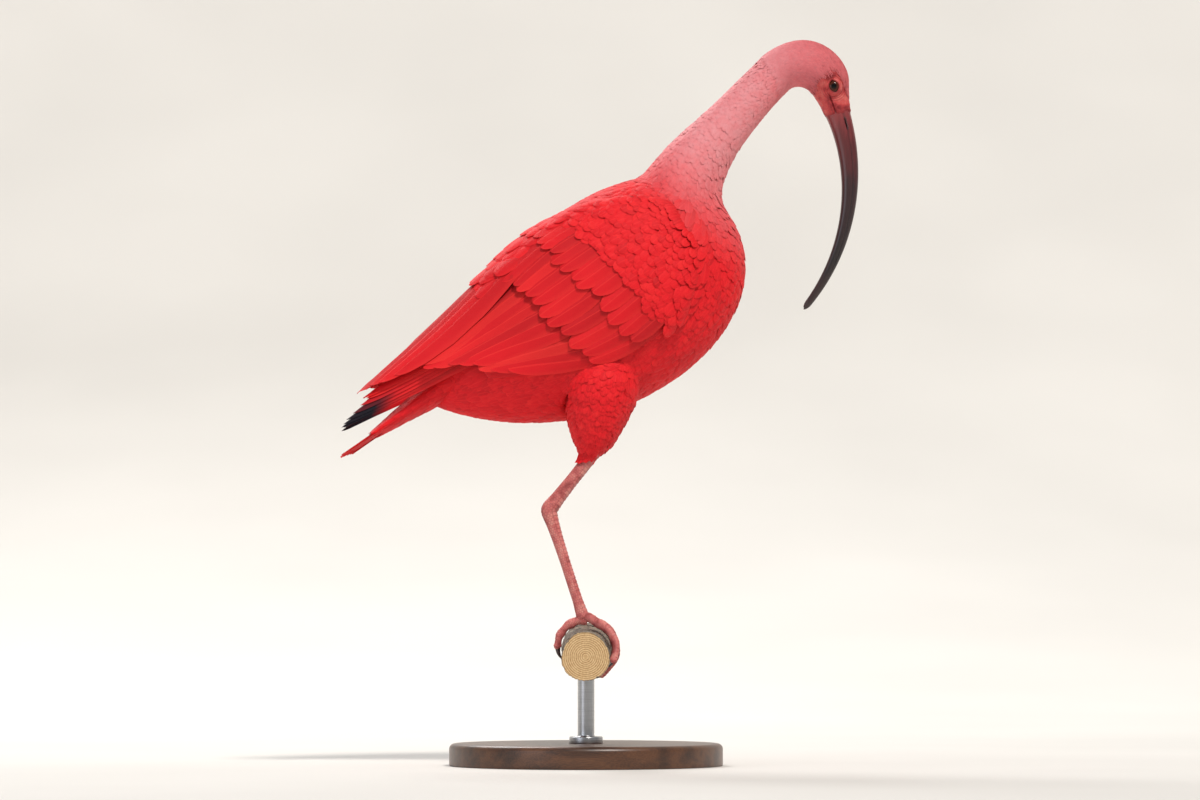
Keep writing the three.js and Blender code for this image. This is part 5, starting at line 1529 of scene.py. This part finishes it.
def leg(side_name, side):
    """The bare leg from inside the thigh to the root of the toes."""
    rows, cols, soft = 400, 72, 13
    tibia, tarsus = ANKLE - THIGH_END, TOE_ROOT - ANKLE
    tibia_length, tarsus_length = float(np.linalg.norm(tibia)), float(np.linalg.norm(tarsus))
    down = np.linspace(-8, tibia_length + tarsus_length + 0.5, rows)
    share = np.clip((down - tibia_length) / tarsus_length, 0, 2)[:, None]
    line = THIGH_END + unit(tibia) * np.minimum(down, tibia_length)[:, None] + tarsus * share
    window = np.hanning(2 * soft + 1)
    padded = np.concatenate([np.repeat(line[:1], soft, 0), line, np.repeat(line[-1:], soft, 0)])
    line = np.stack([np.convolve(padded[:, k], window / window.sum(), "valid") for k in range(3)], -1)
    ahead = unit(np.gradient(line, axis=0))
    across = unit([0.0, 1.0, 0.0] - ahead * ahead[:, 1:2])
    angle = circle(cols)
    radius = np.interp(down, LEG_AT, LEG_RADII)[:, None]
    down = down[:, None]
    bare = smooth_step(6, 14, down)
    plated = plates(down + 0.5 * np.cos(angle) ** 2, SCUTE_STEP, SCUTE_RISE)
    pebbled = scales(angle / TAU * 13 * 1.9, down + 0 * angle, 1.9, 0.22) - 0.1
    relief = lerp(pebbled, plated, smooth_step(0.25, 0.6, np.sin(angle))) * bare
    relief = relief - 0.2 * np.exp(-((np.sin(angle) - 0.42) / 0.06) ** 2) * bare
    knob = np.exp(-((down - tibia_length) / 7) ** 2)
    rings = section(line, across, np.cross(ahead, across), radius * lerp(0.9, 1.0, knob) + relief,
                    radius * 1.04 + relief, angle) * [1, side, 1]
    # The fold mark is painted shade in the seams between the scales and plates.
    tube_piece(f"leg_{side_name}", rings, leg_skin_finish, "bare_skin",
               {"fold": capped(np.clip(0.1 - relief / 0.25, 0, 0.8), [0, 0])},
               replaces=(f"tibia_{side_name}", f"tarsus_{side_name}"))


for side_name, side in SIDES:
    leg(side_name, side)

# %% [markdown]
# Each toe lies on the perch in an arc and drifts a little to its side, with plates above and soft
# pads below, and ends in a claw.

# %% Toes
TOE_RADIUS, TOE_REACH, TOE_GAP, CLAW_LENGTH, CLAW_ROOT = 3.3, 21.15, 0.75, 9.0, 2.0
TOE_ROWS, TOE_AROUND = 150, 48
TOES = {"inner": (47, -22, 1, 0), "middle": (58, 2, 1, 0), "outer": (50, 26, 1, 0),
        "hind": (30, 0, -1, 2)}


def toe_line(along, spread, direction, drop, radius):
    """The toe's middle line, bent round the perch, and its direction away from the perch."""
    y = TOE_ROOT[1] + along * math.sin(spread * DEG)
    root_angle = math.atan2(TOE_ROOT[2] - PERCH_Z, TOE_ROOT[0])
    angle = root_angle - direction * along * math.cos(spread * DEG) / TOE_REACH
    rest = perch_radius(y, angle) + radius + TOE_GAP
    level = TOE_ROOT[2] - PERCH_Z - drop
    distance = rest + lerp(level - rest, 0, smooth_step(0, 12, along))
    out = np.stack([np.cos(angle), 0 * angle, np.sin(angle)], -1)
    line = out * distance[:, None] + np.stack([0 * y, y, PERCH_Z + perch_sway(y)], -1)
    return line, out


def toe_section(line, out, wide, tall, angle):
    """Rings round a toe's line, its upper side turned away from the perch."""
    ahead = unit(np.gradient(line, axis=0))
    side = unit(np.cross(out, ahead))
    return section(line, side, np.cross(ahead, side), wide, tall, angle)


def toe(length, spread, direction, drop):
    """Rings of one toe: plates above, pads below, three swellings for its joints."""
    along = np.linspace(-2.5, length + 0.6, TOE_ROWS)
    s = np.clip(along / length, 0, 1)
    radius = TOE_RADIUS * (0.96 - 0.3 * s + 0.06 * np.cos(6 * math.pi * s))
    line, out = toe_line(along, spread, direction, drop, radius)
    angle = circle(TOE_AROUND)
    above = smooth_step(0.1, 0.45, np.sin(angle))
    pebbled = scales(angle / TAU * 14 * 1.35, along[:, None] + 0 * angle, 1.35, 0.16) - 0.08
    relief = lerp(pebbled, plates(along[:, None] + 0 * angle, 2.4, 0.22), above)
    below = smooth_step(0.0, -0.8, np.sin(angle))
    pads = 0.45 + 0.3 * np.cos(6 * math.pi * s + 0.6)[:, None]
    radius = radius[:, None] * np.sqrt(np.clip((length + 0.9 - along) / 2.2, 0.3, 1))[:, None]
    rings = toe_section(line, out, radius + relief, radius + relief + pads * below, angle)
    # The fold mark is painted shade in the seams between the scales and plates.
    return rings, capped(np.clip(0.1 - relief / 0.2, 0, 0.8), [0, 0])


def claw(length, spread, direction, drop):
    """Rings of a claw: it leaves the toe's end, arches a little and comes down to a point."""
    along = np.linspace(length - CLAW_ROOT, length + CLAW_LENGTH, 40)
    s = np.clip((along - length + CLAW_ROOT) / (CLAW_LENGTH + CLAW_ROOT), 0, 1)
    radius = TOE_RADIUS * lerp(0.5, 0.04, s**1.3)
    line, out = toe_line(along, spread, direction, drop, radius)
    line = line + (0.5 * np.sin(s * math.pi))[:, None] * out
    return toe_section(line, out, 0.8 * radius[:, None], 1.15 * radius[:, None], circle(20))


# %% Feet
def toes(part, node, chosen, side_name, side):
    """Some toes of one foot as a piece, each with its own strip of the map."""
    made = [toe(*TOES[key]) for key in chosen]
    points, faces = joined([closed_tube(rings * [1, side, 1]) for rings, _ in made])
    strip = tube_map(TOE_ROWS, TOE_AROUND)
    strips = np.concatenate([(strip + [n, 0]) / [len(made), 1] for n in range(len(made))])
    make_piece(f"{part}_{side_name}", points, faces, leg_skin_finish, "bare_skin",
               {"fold": np.concatenate([mark for _, mark in made])}, {"OFBake": strips},
               replaces=(f"{node}_{side_name}",))


# Claw horn is darker and smoother than the bill's.
claw_horn = grained_material("claw_horn", {"Roughness": 0.3, "IOR": 1.54, "Coat Weight": 0.3}, 1.2, 3.0,
                             [(0.3, "#140C0B"), (0.7, "#3A2420")], 0.05, 0.4)
for side_name, side in SIDES:
    toes("toes", "foot", ("inner", "middle", "outer"), side_name, side)
    toes("hind_toe", "hallux", ("hind",), side_name, side)
    claws = joined([closed_tube(claw(*shape) * [1, side, 1]) for shape in TOES.values()])
    make_piece(f"claws_{side_name}", *claws, claw_horn, "bill_horn")

# %% [markdown]
# ## The perch
# A short length of branch, sawn at both ends, as a museum mounts a bird. Its bark has long cracks and
# small pores, set out as relief in the mesh, and its cut ends show the rings of growth.

# %% Perch
# Each kind of crack: how many run round and along the branch, width, depth in mm, and seed.
CRACKS = (7, 0, 0.42, 0.8, 41), (16, 0, 0.7, 0.4, 51), (1, 14, 0.36, 0.35, 61), (2, 27, 0.7, 0.14, 71)
CRACK_DEPTH = 0.8
END_SHRINK = 0.985, 0.97, 0.9, 0.8, 0.68, 0.55, 0.42, 0.3, 0.18, 0.08


def perch_material():
    """Grey-brown bark with painted shade in the cracks; where the mark "cut" is 1, pale wood with rings.
    """
    made, tree, shader = new_material("branch_bark_and_cut_wood", {"Roughness": 0.82, "IOR": 1.48})
    blotch, fine = noise(tree, (9.0, 22.0, 9.0), 5.0), noise(tree, (1.2, 4.0, 1.2), 4.0)
    bark = ramp(tree, blotch, [(0.3, "#5A4E42"), (0.5, "#7D7062"), (0.7, "#A09684")])
    bark = mixed(tree, 0.5, bark, ramp(tree, fine, [(0.3, "#4A4036"), (0.7, "#9C9080")]))
    lichen = ranged(tree, noise(tree, 13.0, 6.0, 0.65), 0.58, 0.64, 0.0, 0.55)
    bark = mixed(tree, lichen, bark, "#B4B8A4")
    # Painted shade in the cracks, by the mark fold.
    bark = mixed(tree, number(tree, "fold"), bark, "#2A221C")
    rings = worked(tree, "SINE", worked(tree, "MULTIPLY", number(tree, "radial"), TAU / 1.4))
    cut = ramp(tree, ranged(tree, rings, -1.0, 1.0), [
        (0.1, "#9A7448"), (0.6, "#CDAA78"), (1.0, "#DCC094")])
    cut = mixed(tree, 0.35, cut, ramp(tree, fine, [(0.35, "#9A7448"), (0.7, "#DCC094")]))
    dress(tree, shader, mixed(tree, number(tree, "cut"), bark, cut), fine, 0.4, 0.6)
    return made


def bark_relief(u, v):
    """Ridges, pores and cracks: each crack exp(-(sin(waves) / width)^2), with the waves bent by
    noise and broken by more of it. Gives the height, and the cracks as a share of their depth."""
    cracks = np.zeros_like(u)
    for count_round, count_along, width, depth, seed in CRACKS:
        waves = count_round * u + count_along * v
        waves = waves + 0.5 * lattice_noise(u, v, (5, 6), seed)
        waves = waves + 0.18 * lattice_noise(u, v, (16, 30), seed + 1)
        broken = lattice_noise(u, v, (9 + count_round, 12 + count_along), seed + 2)
        line = np.exp(-(np.sin(TAU * waves) / width) ** 2)
        cracks = np.maximum(cracks, depth * line * smooth_step(-0.15, 0.3, broken))
    pores = smooth_step(0.62, 0.8, lattice_noise(u, v, (30, 110), 43))
    relief = (0.22 * lattice_noise(u, v, (12, 20), 44) + 0.13 * lattice_noise(u, v, (96, 40), 45)
              + 0.06 * lattice_noise(u, v, (120, 150), 46) - cracks + 0.28 * pores)
    return np.minimum(relief, 0.5), cracks / CRACK_DEPTH


# %% Branch
def perch(rows=340, around=200):
    """The branch: bark between the ends, then flat ends of shrinking rings, a little hollow."""
    half, angle = PERCH_SPAN / 2, circle(around)
    y = np.linspace(-half, half, rows)[:, None]
    relief, crack = bark_relief(angle / TAU + 0 * y, (y + half) / PERCH_SPAN + 0 * angle)
    radius = perch_radius(y, angle) + relief
    body = np.stack(np.broadcast_arrays(radius * np.cos(angle), y,
                                        PERCH_Z + perch_sway(y) + radius * np.sin(angle)), -1)
    shrink = np.array(END_SHRINK)[:, None]
    hollow = np.where(np.arange(len(shrink)), -0.25, 0)[:, None] + 0 * angle
    ends = []
    for row, where in ((0, -half), (-1, half)):
        centre = np.array([0, 0, PERCH_Z + perch_sway(where)])
        flat = body[row] - centre - [0, where, 0]
        level = np.stack([0 * hollow, where + np.sign(where) * hollow, 0 * hollow], -1)
        ends.append((centre + shrink[..., None] * flat + level,
                     shrink * np.linalg.norm(flat[:, [0, 2]], axis=-1)[None]))
    (first, first_radial), (last, last_radial) = ends
    many = len(shrink)
    cut = np.pad(np.zeros(rows + 2), many - 1, constant_values=1.0)[:, None] + 0 * angle
    # The cracks' painted shade, as the mark fold; none on the cut ends.
    fold = np.pad(np.clip(crack, 0, 1) * 0.85, ((many, many), (0, 0)))
    radial = np.concatenate([first_radial[::-1], radius, last_radial])
    tube_piece("branch", np.concatenate([first[::-1], body, last]), perch_material(), "bark",
               {"radial": capped(radial), "cut": capped(cut), "fold": capped(fold)}, 50, ("perch",))


perch()

# %% [markdown]
# ## The stand
# The bird was alive in a tree, so the stand is the museum's: a turned walnut disc and a brushed steel
# rod with a collar. Both are turned from a profile, and the metal's grain runs round the rod.

# %% Stand
BASE_RADIUS, BASE_HEIGHT, BASE_ROUND = 98.0, 16.0, 4.0
ROD_RADIUS, COLLAR_RADIUS, COLLAR_TOP = 6.0, 12.0, 21.0


def turned(name, profile, around, material, slot, replaces):
    """A solid of revolution about the upright axis, from (radius, height) places in millimetres."""
    profile = np.array(profile, float)
    radius, height = profile[:, :1], profile[:, 1:]
    rings = np.broadcast_arrays(radius * np.cos(circle(around)), radius * np.sin(circle(around)), height)
    tube_piece(name, np.stack(rings, -1), material, slot, None, 35, replaces)


def rounded(radius, height, corner, start, stop, count):
    """The places of a rounded corner about a centre, from one turn to another in degrees."""
    turns = np.radians(np.linspace(start, stop, count))
    return list(zip(radius + corner * np.cos(turns), height + corner * np.sin(turns)))


def walnut_material():
    """Oiled walnut: rings of a tree cut lengthwise, so the grain is long bands bent by noise."""
    made, tree, shader = new_material("oiled_walnut", {
        "Roughness": 0.38, "IOR": 1.5, "Coat Weight": 0.15, "Coat Roughness": 0.3,
    })
    warp = noise(tree, (120.0, 34.0, 34.0), 3.0, kind="Color")
    where = add(tree, "VectorMath", {0: place_in(tree, (90.0, 9.0, 9.0)), 1: warp}, operation="ADD")
    bands = add(tree, "TexNoise", {"Vector": where.outputs[0], "Scale": 1.0, "Detail": 5.0})
    pores = noise(tree, (9.0, 0.5, 0.5), 2.0)
    base = ramp(tree, bands.outputs["Fac"], [(0.3, "#2A170D"), (0.48, "#4A2C1A"), (0.6, "#5E3A22"),
                                             (0.75, "#3A2114")])
    base = mixed(tree, 0.25, base, ramp(tree, pores, [(0.4, "#1C0F08"), (0.6, "#6A452A")]))
    dress(tree, shader, base, pores, 0.1, 0.4)
    return made


disc = [(r, 0) for r in (20, 50, 80)] + rounded(BASE_RADIUS - 1, 1, 1, -90, 0, 5)
disc += rounded(BASE_RADIUS - BASE_ROUND, BASE_HEIGHT - BASE_ROUND, BASE_ROUND, 0, 90, 12)
disc += [(r, BASE_HEIGHT) for r in (80, 55, 30, 10)]
turned("base_disc", disc, 180, walnut_material(), "base_wood", ("stand_base",))

# Brushed steel: fine scratches that run round the rod, as a lathe leaves them.
steel = grained_material("brushed_steel", {"Metallic": 1.0, "Roughness": 0.3}, (40.0, 40.0, 0.25), 2.0,
                         [(0.3, "#9A9B9D"), (0.7, "#C4C5C7")], 0.03, 0.5)
rod = [(4, BASE_HEIGHT + 0.02)] + rounded(COLLAR_RADIUS - 0.6, BASE_HEIGHT + 0.62, 0.6, -90, 0, 4)
rod += rounded(COLLAR_RADIUS - 1, COLLAR_TOP - 1, 1, 0, 90, 6)
rod += [(ROD_RADIUS + 1.4, COLLAR_TOP)] + rounded(ROD_RADIUS + 1, COLLAR_TOP + 1, -1, 90, 0, 5)
rod += [(ROD_RADIUS, z) for z in (26, 34, 42, 50, 58, 67)]
turned("support_rod", rod, 96, steel, "rod_steel", ("stand_rod",))

# %% [markdown]
# ## Floor, light and camera
# The ground is a pale sweep that curves up to a wall behind.

# %% Floor
SWEEP, FLOOR_REACH = 7000.0, 25000.0


def sweep_floor():
    """A floor that runs back and curves up, slowly at first, to a wall behind."""
    along = np.linspace(0, SWEEP, 60)
    turns = 86 * DEG * smooth_step(0, 1, along / SWEEP)
    run, climb = (np.concatenate([[0], np.cumsum(part(turns[1:]) * np.diff(along))])
                  for part in (np.cos, np.sin))
    run = 500 + run
    depth = np.concatenate([[-FLOOR_REACH, -7000, -1000], run, [run[-1] + 400]])
    height = np.concatenate([[0, 0, 0], climb, [climb[-1] + 5000]])
    x = np.linspace(-FLOOR_REACH, FLOOR_REACH, 12)[None, :]
    points = np.stack(np.broadcast_arrays(x, depth[:, None], height[:, None]), -1)
    mesh = bpy.data.meshes.new("floor")
    mesh.from_pydata((points.reshape(-1, 3) * MM).tolist(), [],
                     grid_faces(len(depth), 12, False)[:, ::-1].tolist())
    mesh.polygons.foreach_set("use_smooth", np.ones(len(mesh.polygons), bool))
    mesh.materials.append(grained_material("pale_paper_floor", {"Roughness": 0.85}, 400.0, 2.0,
                                           [(0.3, "#D6D4D0"), (0.7, "#DCDAD6")]))
    floor = bpy.data.objects.new("floor", mesh)
    bpy.context.scene.collection.objects.link(floor)


sweep_floor()

# %% [markdown]
# The key is a soft sun from above and a little ahead of the bird. A weak round fill stands at the
# camera's left, and another light beyond the bird, high up, for its rim. The camera looks two degrees
# up at the bird's right side, square to it, through a long lens, as the photographer's did.

# %% Light and camera
AIM = np.array([10.0, 0.0, 262.0])
CAMERA_FAR, CAMERA_UP, FRAME_WIDE, SENSOR = 4000.0, 2 * DEG, 861.0, 36.0
LAMPS = (
    ("key", "SUN", (700, -1500, 2300), 11 * DEG, 2.5, "#FFF8F0"),
    ("fill", "AREA", (-1900, -1900, 700), 1.6, 11.0, "#EEF3FF"),
    ("rim", "AREA", (-700, 1500, 1800), 1.0, 26.0, "#FFFFFF"),
)


def pointed(made, place, target):
    """An object put at a place, in millimetres, its -Z axis turned to a target."""
    bpy.context.scene.collection.objects.link(made)
    made.location = [c * MM for c in place]
    way = [(t - c) * MM for t, c in zip(target, place)]
    made.rotation_euler = Vector(way).to_track_quat("-Z", "Y").to_euler()
    return made


for name, kind, place, size, power, tint in LAMPS:
    lamp = bpy.data.lights.new(name, kind)
    lamp.energy, lamp.color = power, colour(tint)[:3]
    if kind == "SUN":
        lamp.angle = size
    else:
        lamp.shape, lamp.size = "DISK", size
    pointed(bpy.data.objects.new(name, lamp), place, AIM)

world = bpy.data.worlds.new("studio")
world.use_nodes = True
background = world.node_tree.nodes["Background"]
background.inputs["Color"].default_value = colour("#E8ECF0")
background.inputs["Strength"].default_value = 0.43
bpy.context.scene.world = world
bpy.context.scene.view_settings.view_transform = "Standard"

lens = bpy.data.cameras.new("camera")
lens.sensor_width, lens.clip_end = SENSOR, 60.0
lens.lens = SENSOR * CAMERA_FAR / FRAME_WIDE
eye_place = AIM + CAMERA_FAR * np.array([0.0, -math.cos(CAMERA_UP), -math.sin(CAMERA_UP)])
bpy.context.scene.camera = pointed(bpy.data.objects.new("camera", lens), eye_place, AIM)
